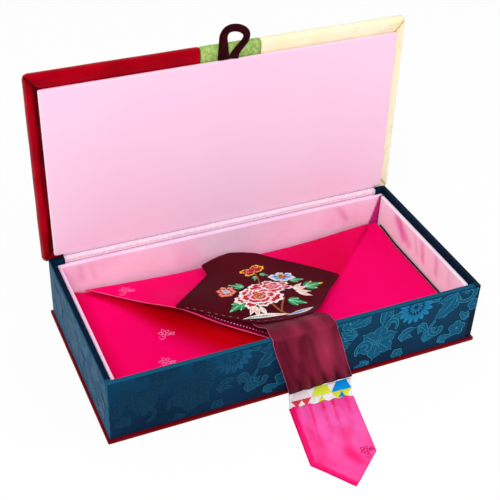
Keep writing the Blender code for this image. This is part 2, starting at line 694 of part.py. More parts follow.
def sash_route():
    """Middle line of the sash from under the panel, over the rim and down to the table, as (y, z, x).

    Inside the tray z is None, because there the sash follows the surface it lies on.
    """
    start = -SASH_START_SHARE * TRAY_DEPTH / 2
    route = []
    for step in range(SASH_ROWS_INSIDE + 1):
        share = step / SASH_ROWS_INSIDE
        route.append((start + share * (SASH_RISE_END_Y - start), None,
                      SASH_TOP_X + share * (SASH_RIM_X - SASH_TOP_X)))
    for step in range(SASH_BEND_STEPS + 1):
        angle = math.pi / 2 * step / SASH_BEND_STEPS
        route.append((SASH_FALL_Y + SASH_BEND * (1 - math.sin(angle)),
                      SASH_RIM_Z - SASH_BEND * (1 - math.cos(angle)), SASH_RIM_X))
    fall = SASH_RIM_Z - SASH_BEND - SASH_FOOT_LIFT
    for step in range(1, SASH_ROWS_OUTSIDE + 1):
        share = step / SASH_ROWS_OUTSIDE
        route.append((SASH_FALL_Y + (SASH_FOOT_Y - SASH_FALL_Y) * smoothstep(share),
                      SASH_RIM_Z - SASH_BEND - fall * share, SASH_RIM_X + share * (SASH_FOOT_X - SASH_RIM_X)))
    return route


def make_sash():
    points = []
    for y, z, middle_x in sash_route():
        row = []
        for column in range(SASH_COLUMNS + 1):
            share = column / SASH_COLUMNS
            x = middle_x + SASH_WIDTH * (share - 1 / 2)
            level = sash_height(x, y) if z is None else z
            gathered = 0 if z is None else smoothstep(1 - (z - SASH_FOOT_LIFT) / PLEAT_HEIGHT)
            pleat = PLEAT_DEPTH * gathered * math.sin(math.pi * PLEAT_COUNT * share) ** 2
            row.append(Vector((x, y - pleat, level)))
        points.append(row)
    sheet_from_grid("sash_upper", points, SASH_SHEET)


def between(first, second, share):
    return tuple(a + (b - a) * share for a, b in zip(first, second))


def foot_place(shares, start, length):
    """A place on the table in front of the sash's foot, from its shares."""
    return SASH_FOOT_X + SASH_WIDTH * shares[0], SASH_FOOT_Y - start - length * shares[1]


BAND_BACK = [foot_place(shares, 0, BAND_DEPTH) for shares in BAND_BACK_SHARES]
BAND_FRONT = [foot_place(shares, 0, BAND_DEPTH) for shares in BAND_FRONT_SHARES]


def band_place(along, across):
    """A place on the pieced strip: along runs left to right, across from the box to the tail."""
    return between(between(*BAND_BACK, along), between(*BAND_FRONT, along), across)


def flat_piece(name, outline, low, thickness):
    """Flat piece with a straight-sided outline."""
    curve = bpy.data.curves.new(name, "CURVE")
    curve.dimensions = "2D"
    curve.fill_mode = "BOTH"
    curve.extrude = thickness / 2
    spline = curve.splines.new("POLY")
    spline.points.add(len(outline) - 1)
    for point, (x, y) in zip(spline.points, outline):
        point.co = (x, y, 0, 1)
    spline.use_cyclic_u = True
    curve.materials.append(finish(name))
    made = bpy.data.objects.new(name, curve)
    PARTS.objects.link(made)
    made.location = (0, 0, low + thickness / 2)


def make_band():
    """White strip with three pieced hexagons, each an upper and a lower half."""
    corners = (BAND_BACK[0], BAND_FRONT[0], BAND_FRONT[1], BAND_BACK[1])
    flat_piece("patchwork_band", corners, TABLE_LIFT, BAND_SHEET)
    low = TABLE_LIFT + BAND_SHEET + GAP
    names = ("left", "middle", "right")
    seam = PATCH_SEAM_SHARE
    for index, place in enumerate(names):
        start, end = (index + seam) / len(names), (index + 1 - seam) / len(names)
        shoulder = (end - start) / 4
        upper = (band_place(start + shoulder, seam), band_place(start, (1 - seam) / 2),
                 band_place(end, (1 - seam) / 2), band_place(end - shoulder, seam))
        lower = (band_place(start, (1 + seam) / 2), band_place(start + shoulder, 1 - seam),
                 band_place(end - shoulder, 1 - seam), band_place(end, (1 + seam) / 2))
        flat_piece("patch_" + place + "_upper", upper, low, PATCH_SHEET)
        flat_piece("patch_" + place + "_lower", lower, low, PATCH_SHEET)


def make_tail():
    """Pointed tail lying on the table, gathered at its seam with the strip."""
    seam_ends = [(x, y - GAP) for x, y in BAND_FRONT]
    shoulders = [foot_place(shares, BAND_DEPTH, TAIL_LENGTH) for shares in TAIL_SHOULDER_SHARES]
    tip = foot_place(TAIL_TIP_SHARES, BAND_DEPTH, TAIL_LENGTH)
    points = []
    for row in range(TAIL_ROWS + 1):
        down = row / TAIL_ROWS
        line = []
        for column in range(TAIL_COLUMNS + 1):
            share = column / TAIL_COLUMNS
            if share < 1 / 2:
                hem = between(shoulders[0], tip, 2 * share)
            else:
                hem = between(tip, shoulders[1], 2 * share - 1)
            x, y = between(between(*seam_ends, share), hem, down)
            fade = 1 - smoothstep(down / TAIL_RIPPLE_SHARE)
            ripple = TAIL_RIPPLE * fade * math.sin(math.pi * PLEAT_COUNT * share) ** 2
            line.append(Vector((x, y, TABLE_LIFT + TAIL_SHEET / 2 + ripple)))
        points.append(line)
    sheet_from_grid("sash_tail", points, TAIL_SHEET)


CARD_FINISH = (CARD, CARD_ROUGHNESS)
FINISHES = {
    "base_board": CARD_FINISH, "base_cloth": (RED, SILK_ROUGHNESS), "tray_cloth": (NAVY, SILK_ROUGHNESS),
    "tray_floor_board": CARD_FINISH, "tray_front_board": CARD_FINISH, "tray_back_board": CARD_FINISH,
    "tray_left_board": CARD_FINISH, "tray_right_board": CARD_FINISH,
    "liner_card_front": CARD_FINISH, "liner_card_back": CARD_FINISH,
    "liner_card_left": CARD_FINISH, "liner_card_right": CARD_FINISH,
    "liner_silk_front": (PINK, SILK_ROUGHNESS), "liner_silk_back": (PINK, SILK_ROUGHNESS),
    "liner_silk_left": (PINK, SILK_ROUGHNESS), "liner_silk_right": (PINK, SILK_ROUGHNESS),
    "floor_pad_cover": (PINK, SILK_ROUGHNESS), "floor_pad_core": (FOAM, CARD_ROUGHNESS),
    "hinge_strip": (PINK, SILK_ROUGHNESS), "hinge_cloth": (NAVY, SILK_ROUGHNESS),
    "lid_board": CARD_FINISH, "lid_foam": (FOAM, CARD_ROUGHNESS),
    "lid_silk_red": (RED, SILK_ROUGHNESS), "lid_silk_green": (GREEN, SILK_ROUGHNESS),
    "lid_silk_cream": (CREAM, SILK_ROUGHNESS),
    "lining_board": CARD_FINISH, "lining_silk": (PALE_PINK, SILK_ROUGHNESS),
    "loop_leg_left": (DARK_MAROON, SILK_ROUGHNESS), "loop_leg_right": (DARK_MAROON, SILK_ROUGHNESS),
    "closure_loop": (DARK_MAROON, SILK_ROUGHNESS),
    "envelope_back": (MAGENTA, SILK_ROUGHNESS), "envelope_pocket": (MAGENTA, SILK_ROUGHNESS),
    "envelope_flap": (MAGENTA, SILK_ROUGHNESS), "tip_patch": (DARK_MAROON, SILK_ROUGHNESS),
    "embroidered_panel": (DARK_MAROON, SILK_ROUGHNESS), "sash_upper": (MAROON, SILK_ROUGHNESS),
    "patchwork_band": (WHITE, SILK_ROUGHNESS),
    "patch_left_upper": (PALE_PINK, SILK_ROUGHNESS), "patch_left_lower": (CORAL, SILK_ROUGHNESS),
    "patch_middle_upper": (YELLOW_GREEN, SILK_ROUGHNESS), "patch_middle_lower": (PALE_PINK, SILK_ROUGHNESS),
    "patch_right_upper": (BLUE, SILK_ROUGHNESS), "patch_right_lower": (YELLOW_GREEN, SILK_ROUGHNESS),
    "sash_tail": (HOT_PINK, SILK_ROUGHNESS),
}


clear_scene()
PARTS = new_collection("silk_gift_box")
CUTTERS = new_collection("guides")

make_base()
make_tray()
make_liner()
make_pad()
make_hinge_strips()

hinge_line = bpy.data.objects.new("lid_hinge", None)
PARTS.objects.link(hinge_line)
hinge_line.location = (0, HINGE_Y, HINGE_Z)
hinge_line.rotation_euler = (-LID_OPEN_ANGLE, 0, 0)
make_lid(hinge_line)
make_lining(hinge_line)
make_loop(hinge_line)

make_envelope()
make_panel()
make_sash()
make_band()
make_tail()

bpy.context.view_layer.update()
for pivot in ("lid_hinge", "loop_crease"):
    place = bpy.data.objects[pivot].matrix_world.translation
    print(pivot, "lies at y", round(place.y, 5), "z", round(place.z, 5))
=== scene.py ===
# %% [markdown]
# # A silk gift box, dressed in Blender
# The box is card, wrapped in silk. Its solids come from a CAD model as a fixed frame. This lesson gives each
# solid its finer shape and its finish: padded silk, woven damask, embroidery, satin and piping.
# The frame is loaded first. The cloth may not outgrow it.

# %% Load the fixed frame
import math

import bmesh
import bpy
from mathutils import Matrix, Vector, noise


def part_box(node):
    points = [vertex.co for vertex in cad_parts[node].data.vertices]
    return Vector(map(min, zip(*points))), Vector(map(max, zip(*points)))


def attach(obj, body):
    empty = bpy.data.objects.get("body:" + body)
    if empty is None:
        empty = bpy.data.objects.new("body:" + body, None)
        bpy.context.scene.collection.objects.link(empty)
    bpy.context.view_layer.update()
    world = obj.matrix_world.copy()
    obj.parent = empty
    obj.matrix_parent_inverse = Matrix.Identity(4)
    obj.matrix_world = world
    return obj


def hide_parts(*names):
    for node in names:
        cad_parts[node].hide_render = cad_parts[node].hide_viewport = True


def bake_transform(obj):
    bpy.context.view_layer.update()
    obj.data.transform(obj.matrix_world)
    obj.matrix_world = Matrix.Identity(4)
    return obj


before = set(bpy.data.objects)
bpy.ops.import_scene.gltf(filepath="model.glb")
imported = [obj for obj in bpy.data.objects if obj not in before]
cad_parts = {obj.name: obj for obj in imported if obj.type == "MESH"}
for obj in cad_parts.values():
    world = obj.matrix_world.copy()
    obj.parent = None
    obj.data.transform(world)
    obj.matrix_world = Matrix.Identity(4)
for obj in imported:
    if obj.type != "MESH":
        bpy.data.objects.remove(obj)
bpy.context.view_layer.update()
SCENE = bpy.context.scene

# %% [markdown]
# ## Camera, lights and table
# The photograph looks down on the box from the front left. The camera turns about a point above the tray, so its
# place follows from two angles, a distance and a small roll.

# %% Camera
AZIMUTH, ELEVATION, ROLL = -0.441580321, 0.638436517, 0.045744963
DISTANCE = 0.744383631
TARGET = Vector((0.012324518, 0.049515580, 0.0286))
FOCAL_PIXELS = 1034.493838
PHOTO_PIXELS = 500
SENSOR = 36.0


def camera_axes(azimuth, elevation, roll):
    """Right, up and backward direction of a camera that looks at its target."""
    back = Vector((math.sin(azimuth) * math.cos(elevation), -math.cos(azimuth) * math.cos(elevation),
                   math.sin(elevation)))
    across = Vector((0, 0, 1)).cross(back).normalized()
    above = back.cross(across)
    right = across * math.cos(roll) + above * math.sin(roll)
    up = above * math.cos(roll) - across * math.sin(roll)
    return right, up, back


right, up, back = camera_axes(AZIMUTH, ELEVATION, ROLL)
camera = bpy.data.objects.new("camera", bpy.data.cameras.new("camera"))
camera.data.sensor_width = SENSOR
camera.data.lens = FOCAL_PIXELS * SENSOR / PHOTO_PIXELS
turn = Matrix((right, up, back)).transposed().to_4x4()
camera.matrix_world = Matrix.Translation(TARGET + back * DISTANCE) @ turn
SCENE.collection.objects.link(camera)
SCENE.camera = camera
print("camera stands at", [round(value, 3) for value in camera.matrix_world.translation])

# %% [markdown]
# The world, the table and all finishes are made of shader nodes. One helper adds a node and feeds its sockets. Small
# ones on top of it give a sum, a mix of two colours or a ramp, so that each recipe below takes few lines.

# %% Helpers for nodes
FULL, NONE = (1, 1, 1, 1), (0, 0, 0, 1)


def colour(code):
    """Linear colour from a colour code as a screen shows it."""
    parts = [int(code[i:i + 2], 16) / 255 for i in (0, 2, 4)]
    return tuple(part / 12.92 if part < 0.04045 else ((part + 0.055) / 1.055) ** 2.4 for part in parts) + (1.0,)


def add(tree, kind, inputs=None, **settings):
    """A new node with its settings, fed by sockets or plain values."""
    made = tree.nodes.new(kind)
    for key, value in settings.items():
        setattr(made, key, value)
    for key, value in (inputs or {}).items():
        if isinstance(value, bpy.types.NodeSocket):
            tree.links.new(value, made.inputs[key])
        else:
            made.inputs[key].default_value = value
    return made


def math_node(tree, operation, first, second=0.0, third=0.0):
    """One sum on values."""
    return add(tree, "ShaderNodeMath", {0: first, 1: second, 2: third}, operation=operation).outputs[0]


def times(tree, first, second):
    return math_node(tree, "MULTIPLY", first, second)


def below(tree, value, limit):
    """1 where a value is less than a limit, else 0."""
    return math_node(tree, "LESS_THAN", value, limit)


def above(tree, value, limit):
    return math_node(tree, "GREATER_THAN", value, limit)


def mixed(tree, factor, first, second, blend="MIX"):
    """Two colours mixed by a factor."""
    return add(tree, "ShaderNodeMix", {0: factor, 6: first, 7: second}, data_type="RGBA", blend_type=blend).outputs[2]


def ramp(tree, factor, stops):
    """Colours along a factor, as (place, colour) pairs."""
    made = add(tree, "ShaderNodeValToRGB", {"Fac": factor})
    band = made.color_ramp
    while len(band.elements) < len(stops):
        band.elements.new(0.5)
    for element, (place, tone) in zip(band.elements, stops):
        element.position = place
        element.color = tone
    return made.outputs["Color"]


def rising(tree, factor, low, high):
    """A share that rises from 0 at the low value to 1 at the high one."""
    return ramp(tree, factor, ((low, NONE), (high, FULL)))


print("helpers for nodes ready")

# %% [markdown]
# A studio lights such an object softly from all sides. The world gives an even light, and the camera sees it as
# white. A large lamp from the upper left gives the silk its highlights, and a weaker one fills the right side.

# %% World and lamps
EVEN_LIGHT = 0.62
LAMPS = (("key_lamp", (-0.55, -0.75, 1.15), 0.7, 9.0), ("fill_lamp", (0.95, -0.60, 0.75), 0.8, 3.5))
LAMP_AIM = Vector((0, 0, 0.05))
SCENE.view_settings.view_transform = "Standard"


def cleared_tree(holder):
    """The empty node tree of a world or a material."""
    holder.use_nodes = True
    holder.node_tree.nodes.clear()
    return holder.node_tree


def seen_by(tree, *rays):
    """1 for the named kinds of rays, which see the studio as plain white."""
    path = add(tree, "ShaderNodeLightPath")
    share = path.outputs[rays[0]]
    for ray in rays[1:]:
        share = math_node(tree, "MAXIMUM", share, path.outputs[ray])
    return share


world = bpy.data.worlds.new("studio")
SCENE.world = world
tree = cleared_tree(world)
even = add(tree, "ShaderNodeBackground", {"Color": FULL, "Strength": EVEN_LIGHT})
white = add(tree, "ShaderNodeBackground", {"Color": FULL, "Strength": 1.0})
direct = seen_by(tree, "Is Camera Ray", "Is Glossy Ray", "Is Transmission Ray")
choose = add(tree, "ShaderNodeMixShader", {0: direct, 1: even.outputs[0], 2: white.outputs[0]})
add(tree, "ShaderNodeOutputWorld", {"Surface": choose.outputs[0]})
for name, place, size, power in LAMPS:
    light = bpy.data.lights.new(name, "AREA")
    light.shape = "SQUARE"
    light.size = size
    light.energy = power
    holder = bpy.data.objects.new(name, light)
    holder.location = place
    holder.rotation_euler = (Vector(place) - LAMP_AIM).to_track_quat("Z", "Y").to_euler()
    SCENE.collection.objects.link(holder)

# %% [markdown]
# The table is a plain pale plane. The camera sees it mixed with white, so only the soft shadow stays.

# %% Table
TABLE_SIZE = 6.0
TABLE_GREY = (0.92, 0.92, 0.92, 1)
TABLE_WHITE_SHARE = 0.94
work = bmesh.new()
bmesh.ops.create_grid(work, x_segments=1, y_segments=1, size=TABLE_SIZE / 2)
mesh = bpy.data.meshes.new("table")
work.to_mesh(mesh)
work.free()
table = bpy.data.objects.new("table", mesh)
SCENE.collection.objects.link(table)
paper = bpy.data.materials.new("pale_table")
tree = cleared_tree(paper)
matt = add(tree, "ShaderNodeBsdfDiffuse", {"Color": TABLE_GREY})
glow = add(tree, "ShaderNodeEmission", {"Color": FULL, "Strength": 1.0})
share = times(tree, seen_by(tree, "Is Camera Ray", "Is Glossy Ray"), TABLE_WHITE_SHARE)
choose = add(tree, "ShaderNodeMixShader", {0: share, 1: matt.outputs[0], 2: glow.outputs[0]})
add(tree, "ShaderNodeOutputMaterial", {"Surface": choose.outputs[0]})
mesh.materials.append(paper)
print("table is", TABLE_SIZE, "m wide")

# %% [markdown]
# ## Finishes
# Silk is read by three things: its colour changes a little over the cloth, its threads run in fine streaks, and
# it has a soft gloss with a bright edge, which the sheen gives. The streaks follow the cloth through its UV map in
# metres. These helpers start a finish, draw out noise into threads and raise them.

# %% Helpers for finishes
SHEEN_ROUGHNESS = 0.35


def new_finish(name, roughness, specular=0.2, sheen=0.0, sheen_colour=FULL):
    """A material with its Principled shader's plain values."""
    made = bpy.data.materials.new(name)
    made.use_nodes = True
    shader = made.node_tree.nodes["Principled BSDF"]
    for socket, value in (("Roughness", roughness), ("Specular IOR Level", specular),
                          ("Specular Tint", sheen_colour), ("Sheen Weight", sheen),
                          ("Sheen Roughness", SHEEN_ROUGHNESS), ("Sheen Tint", sheen_colour)):
        shader.inputs[socket].default_value = value
    return made, made.node_tree, shader


def mottle(tree, vector, scale, detail=2.0):
    """Soft patches of noise."""
    return add(tree, "ShaderNodeTexNoise", {"Vector": vector, "Scale": scale, "Detail": detail}).outputs["Fac"]


def streaks(tree, vector, along, across, detail=2.0):
    """Noise drawn out into threads."""
    placed = add(tree, "ShaderNodeMapping", {"Vector": vector, "Scale": (along, across, 1.0)})
    return mottle(tree, placed.outputs[0], 1.0, detail)


def cover(tree, shader, base, height, strength, distance):
    """Gives a shader its colour, and raises the threads by a height in metres."""
    tree.links.new(base, shader.inputs["Base Color"])
    bump = add(tree, "ShaderNodeBump", {"Height": height, "Strength": strength, "Distance": distance})
    tree.links.new(bump.outputs[0], shader.inputs["Normal"])


print("helpers for finishes ready")

# %% [markdown]
# One function makes every silk of this box from two tones, a gloss and the size of its streaks. A silk may have a
# small woven figure, thin creases painted darker as painted shade, or a second colour where the piece's fold
# attribute says so: painted light, which is painted shade in folds and creases, or a painted highlight on the sash
# and on the lid lining's edge.

# %% Silk
WEFT, WARP = 2600.0, 3200.0
SHADE_PLACE, TONE_PLACE = 0.30, 0.62
FIGURE_EDGE, FIGURE_SHARE = (0.50, 0.56), 0.75
CREASE_WIDTH, CREASE_SHARE, CREASE_CLOUDS = 0.007, 0.5, (0.50, 0.62)
THREAD_STRENGTH, THREAD_HEIGHT = 0.35, 0.00006
UNEVEN_GLOSS = 0.14


def silk(name, tone, shade, roughness=0.42, sheen=0.25, cloud=16.0, thread=0.5, slub=90.0, jacquard=None,
         painted=None, lines=None, specular=0.2):
    """Silk in two tones with threads. jacquard and lines give a size and a colour; painted is that of painted light."""
    tone, shade = colour(tone), colour(shade)
    made, tree, shader = new_finish(name, roughness, specular, sheen, tone)
    place = add(tree, "ShaderNodeTexCoord")
    weft = streaks(tree, place.outputs["UV"], slub, WEFT)
    warp = streaks(tree, place.outputs["UV"], WARP, slub * 1.3)
    clouds = mottle(tree, place.outputs["Object"], cloud)
    level = math_node(tree, "MULTIPLY_ADD", weft, thread * 0.5, times(tree, clouds, 0.75))
    base = ramp(tree, level, ((SHADE_PLACE, shade), (TONE_PLACE, tone)))
    if jacquard:
        size, figure = jacquard
        petals = rising(tree, mottle(tree, place.outputs["UV"], size, 1.0), *FIGURE_EDGE)
        base = mixed(tree, times(tree, petals, FIGURE_SHARE), base, colour(figure))
    # lines: thin creases, painted darker as painted shade.
    if lines:
        size, crease = lines
        wander = math_node(tree, "SUBTRACT", mottle(tree, place.outputs["Object"], size, 1.5), 0.5)
        thin = times(tree, below(tree, math_node(tree, "ABSOLUTE", wander), CREASE_WIDTH), CREASE_SHARE)
        here = rising(tree, clouds, *CREASE_CLOUDS)
        base = mixed(tree, times(tree, thin, here), base, colour(crease))
    # painted: the colour of painted light that the fold attribute mixes in: painted shade, or a painted highlight.
    if painted:
        fold = add(tree, "ShaderNodeAttribute", attribute_name="fold").outputs["Fac"]
        base = mixed(tree, fold, base, colour(painted))
    cover(tree, shader, base, math_node(tree, "ADD", weft, warp), THREAD_STRENGTH, THREAD_HEIGHT)
    rough = math_node(tree, "MULTIPLY_ADD", clouds, UNEVEN_GLOSS, roughness - UNEVEN_GLOSS / 2)
    tree.links.new(rough, shader.inputs["Roughness"])
    return made


# The red, green and cream silks' painted colours are painted shade in the lid border's folds and seams.
RED_SILK = silk("red_silk", "B80019", "90000F", 0.34, 0.2, slub=60.0, painted="4E0006", specular=0.4)
# A darker copy of the red silk: its darkness on the base plate is painted shade.
SHADED_RED_SILK = silk("shaded_red_silk", "7C0410", "540208", 0.45, 0.1, slub=60.0, specular=0.12)
GREEN_SILK = silk("green_silk", "A2C466", "8EB256", 0.5, 0.1, jacquard=(330.0, "C2DA8C"), painted="5C8038")
# The cream's thin lines are painted shade in creases.
CREAM_SILK = silk("cream_silk", "FBF4D8", "F4EABC", 0.42, 0.1, cloud=40.0, slub=40.0, painted="D0AC50",
                  lines=(90.0, "D8B860"))
# Its painted colour is the magenta of painted shade in the liners' folds.
PINK_SILK = silk("pink_silk", "FFDEF6", "FCCCEC", 0.38, 0.08, cloud=60.0, painted="CC2488")
# A lighter copy of the pink silk: painted light on the right liner, which lies in shade.
LIT_PINK_SILK = silk("lit_pink_silk", "FFF6FF", "FFECFC", 0.38, 0.08, cloud=60.0, painted="E870C0")
# Its painted colour is a painted highlight.
PALE_PINK_SILK = silk("pale_pink_silk", "FCD6EE", "FACFEA", 0.50, 0.06, cloud=9.0, thread=0.3, painted="FFF6FC")
STRIP_SILK = silk("hinge_strip_silk", "F8DCEC", "F0D0E2", 0.5, 0.05, thread=0.3, jacquard=(420.0, "FBE6F2"))
# Its painted red is painted shade below the flap and on the flap's right part.
MAGENTA_SILK = silk("magenta_silk", "F40068", "EA005C", 0.48, 0.0, cloud=9.0, painted="C00008", specular=0.03)
CORAL_SILK = silk("coral_silk", "F04858", "E03444", 0.45, 0.1)
# The red of the sheet under the flap: a lining, and the painted shade seen below the flap's raised edge.
LINING_RED_SILK = silk("lining_red_silk", "B00010", "90000A", 0.45, 0.1)
# Its painted colour is the painted highlight of the satin sheen on the sash.
MAROON_SATIN = silk("maroon_satin", "440818", "2E0510", 0.36, 0.0, cloud=30.0, thread=0.9, painted="B43658",
                    specular=0.035)
DARK_SILK = silk("dark_maroon_silk", "500C18", "3E0810", 0.55, 0.06, cloud=25.0, specular=0.06)
# A lighter copy of the dark maroon silk: painted light on the tip patch, which lies in the panel's shade.
TIP_SILK = silk("tip_maroon_silk", "720828", "540620", 0.5, 0.1, cloud=25.0)
CORD_SILK = silk("dark_maroon_cord", "340A12", "1E060A", 0.5, 0.1, cloud=160.0, specular=0.12)
# Its painted colour is the deeper pink of painted shade in the tail's gathers, also used in blotches and the hem.
HOT_PINK_SATIN = silk("hot_pink_satin", "FF62B8", "FF50AC", 0.30, 0.12, cloud=34.0, thread=0.6, painted="FA046C",
                      specular=0.3)
HOT_PINK_HEM = silk("hot_pink_hem", "F40C78", "E00468", 0.34, 0.1)
WHITE_SILK = silk("white_silk", "FEFCFE", "F8F4F8", 0.5, 0.05)
PEARL_SILK = silk("pearl_silk", "F6E6F0", "F0DCE8", 0.5, 0.05)
BLUE_SILK = silk("blue_silk", "0A9CF0", "0884EC", 0.42, 0.1)
YELLOW_SILK = silk("yellow_green_silk", "E8F448", "DCEC28", 0.45, 0.1)
PIPING_PINK = silk("pink_piping", "F4588C", "DC3468", 0.45, 0.1, cloud=60.0)
SASH_PIPING = silk("sash_piping", "C85878", "94304C", 0.45, 0.1, cloud=60.0)
# The grey-mauve of the painted shadow along the hinge strip's edges.
SEAM_GREY = silk("seam_shadow", "B06C94", "905078", 0.6, 0.0)
print("silks:", len([item for item in bpy.data.materials if "silk" in item.name or "satin" in item.name]))

# %% [markdown]
# Damask shows its flowers by the way its threads lie. The ground is navy. Painted light makes it lighter on the upper
# front and on the left wall, with a painted highlight on the front rim, and painted shade makes it darker on the other
# rims and inside the right wall. It is a little worn on the upright corners. The masks for these compare each
# point's place with the planes of the walls.

# %% Damask ground
LEFT_FACE, FRONT_FACE = -0.1295, -0.0630
FRONT_HEIGHTS = (0.012, 0.052)
RIM_LEVEL, FRONT_RIM = 0.04785, -0.0605
RIGHT_INSIDE = (0.1250, 0.1290)
CORNER_EDGES = (0.1296, 0.0648)


def damask_ground():
    """Navy silk with painted light and shade that depend on the wall, and wear on the upright corners."""
    made, tree, shader = new_finish("navy_damask", 0.55, 0.06, 0.04, colour("1E6A8C"))
    place = add(tree, "ShaderNodeTexCoord")
    x, y, z = add(tree, "ShaderNodeSeparateXYZ", {"Vector": place.outputs["Object"]}).outputs
    weft = streaks(tree, place.outputs["UV"], 130.0, 2200.0)
    clouds = times(tree, mottle(tree, place.outputs["Object"], 14.0, 3.0), 0.65)
    level = math_node(tree, "MULTIPLY_ADD", weft, 0.35, clouds)
    base = ramp(tree, level, ((0.32, colour("061C34")), (0.66, colour("0A3250"))))

    crest = add(tree, "ShaderNodeMapRange", {"Value": z, "From Min": FRONT_HEIGHTS[0], "From Max": FRONT_HEIGHTS[1]})
    front = times(tree, crest.outputs[0], below(tree, y, FRONT_FACE))
    left = below(tree, x, LEFT_FACE)
    rim = above(tree, z, RIM_LEVEL)
    near = times(tree, rim, below(tree, y, FRONT_RIM))
    far = math_node(tree, "SUBTRACT", rim, near)
    aside = math_node(tree, "ABSOLUTE", x)
    inside = times(tree, below(tree, aside, RIGHT_INSIDE[1]), above(tree, x, RIGHT_INSIDE[0]))
    deep = above(tree, math_node(tree, "ABSOLUTE", y), CORNER_EDGES[1])
    corner = times(tree, above(tree, aside, CORNER_EDGES[0]), deep)
    rubbed = rising(tree, mottle(tree, place.outputs["Object"], 300.0), 0.50, 0.62)
    # Painted light on the upper front and the left wall, a painted highlight on the front rim, painted shade on the
    # other rims and inside the right wall, then wear on the corners.
    for where, amount, code in ((front, 0.30, "12587A"), (left, 0.45, "1C6A90"), (near, 0.5, "1C6484"),
                                (math_node(tree, "MAXIMUM", far, inside), 0.75, "04101E"),
                                (times(tree, corner, rubbed), 0.55, "3E88AC")):
        base = mixed(tree, times(tree, where, amount), base, colour(code))
    cover(tree, shader, base, weft, 0.4, 0.00008)
    return made


DAMASK = damask_ground()
print(DAMASK.name, "has", len(DAMASK.node_tree.nodes), "nodes")

# %% [markdown]
# The woven figures have a teal ground with a lighter outline. Each shape carries an attribute, 0 for a figure's
# ground, 0.5 for its outline and 1 for a bright petal. Their tones are painted light: dim at the front's left and
# brighter towards its right, and lighter on the left wall, like the painted light on the ground there. The
# embroidery's thread takes its colour from the same attribute of each stitched shape.

# %% Damask figures and thread
# Painted sheen on the front's figures rises from dim to bright along this span of x. The tones below are dim, bright
# and the left wall's lighter set, all painted light.
PAINTED_SHEEN_SPAN = (-0.070, 0.02)
FIGURE_TONES = (("0A304A", "0D3C58", "0C3A58"), ("0C5476", "348EAC", "1A7CA8"), ("164E6C", "1E5E80", "1E6284"))


def shaded_threads(tree, base, rows, stops):
    """A colour made darker or lighter along its threads."""
    greys = [(place, (grey, grey, grey, 1)) for place, grey in stops]
    return mixed(tree, 1.0, base, ramp(tree, rows, greys), "MULTIPLY")


def damask_figure():
    """Three sets of tones, all painted light: dim at the front's left, bright at its right, lighter on the left wall.
    """
    made, tree, shader = new_finish("damask_figure", 0.5, 0.08, 0.04, colour("3090B8"))
    place = add(tree, "ShaderNodeTexCoord")
    x = add(tree, "ShaderNodeSeparateXYZ", {"Vector": place.outputs["Object"]}).outputs["X"]
    kind = add(tree, "ShaderNodeAttribute", attribute_name="thread").outputs["Fac"]
    bright = add(tree, "ShaderNodeMapRange", {"Value": x, "From Min": PAINTED_SHEEN_SPAN[0], "From Max": PAINTED_SHEEN_SPAN[1]})
    dim, clear, turned = (ramp(tree, kind, [(step, colour(code)) for step, code in zip((0.0, 0.5, 1.0), tones)])
                          for tones in FIGURE_TONES)
    base = mixed(tree, below(tree, x, LEFT_FACE), mixed(tree, bright.outputs[0], dim, clear), turned)
    weave = streaks(tree, place.outputs["Object"], 900.0, 900.0)
    cover(tree, shader, shaded_threads(tree, base, weave, ((0.3, 0.78), (0.7, 1.1))), weave, 0.3, 0.00005)
    return made


def satin_stitch():
    """Embroidery thread, whose stitches run across each shape."""
    made, tree, shader = new_finish("satin_stitch", 0.42, 0.15, 0.05)
    rows = streaks(tree, add(tree, "ShaderNodeTexCoord").outputs["UV"], 18.0, 1.2, 1.0)
    thread = add(tree, "ShaderNodeAttribute", attribute_name="thread").outputs["Color"]
    cover(tree, shader, shaded_threads(tree, thread, rows, ((0.3, 0.60), (0.6, 1.0))), rows, 0.5, 0.0001)
    return made


FIGURE = damask_figure()
STITCH = satin_stitch()
print("figures and thread:", FIGURE.name, STITCH.name)

# %% [markdown]
# Card and padding lie hidden inside the cloth. Their CAD solids stay, and get a fibrous finish in two tones.

# %% Card and padding


def fibrous(name, roughness, specular, sheen, size, detail, tones, strength, distance):
    """Short fibres in two tones."""
    made, tree, shader = new_finish(name, roughness, specular, sheen)
    fibre = mottle(tree, add(tree, "ShaderNodeTexCoord").outputs["Object"], size, detail)
    base = ramp(tree, fibre, ((0.3, colour(tones[0])), (0.7, colour(tones[1]))))
    cover(tree, shader, base, fibre, strength, distance)
    return made


CARD = fibrous("grey_card", 0.9, 0.2, 0.0, 400.0, 4.0, ("8E8A80", "B0AAA0"), 0.3, 0.0001)
PADDING = fibrous("white_padding", 0.95, 0.1, 0.2, 220.0, 5.0, ("D8D6CE", "F2F0EA"), 0.6, 0.0004)
hidden = 0
for name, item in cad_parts.items():
    finish = PADDING if "foam" in name or "core" in name else CARD if "board" in name or "card" in name else None
    if finish:
        item.data.materials.clear()
        item.data.materials.append(finish)
        hidden += 1
print("card and padding on", hidden, "hidden pieces")

# %% [markdown]
# ## Helpers for shapes
# Each new piece starts as a bmesh. The first helper turns it into an object, and the second hangs it on the body
# that it rides on and hides the solids that it stands for.

# %% Pieces
MERGE = 0.000002


def piece_from(name, work, finish, sharp=40.0):
    """Turns a bmesh into a smooth piece."""
    mesh = bpy.data.meshes.new(name)
    work.to_mesh(mesh)
    work.free()
    mesh.materials.append(finish)
    mesh.shade_smooth()
    mesh.set_sharp_from_angle(angle=math.radians(sharp))
    piece = bpy.data.objects.new(name, mesh)
    SCENE.collection.objects.link(piece)
    return piece


def dress(piece, slot, *nodes, body="tray"):
    """Hides the solids that a piece stands for and hangs it on the body that it moves with; slot is not used."""
    if nodes:
        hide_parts(*nodes)
    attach(piece, body)
    print(piece.name, len(piece.data.polygons), "faces on", body)
    return piece


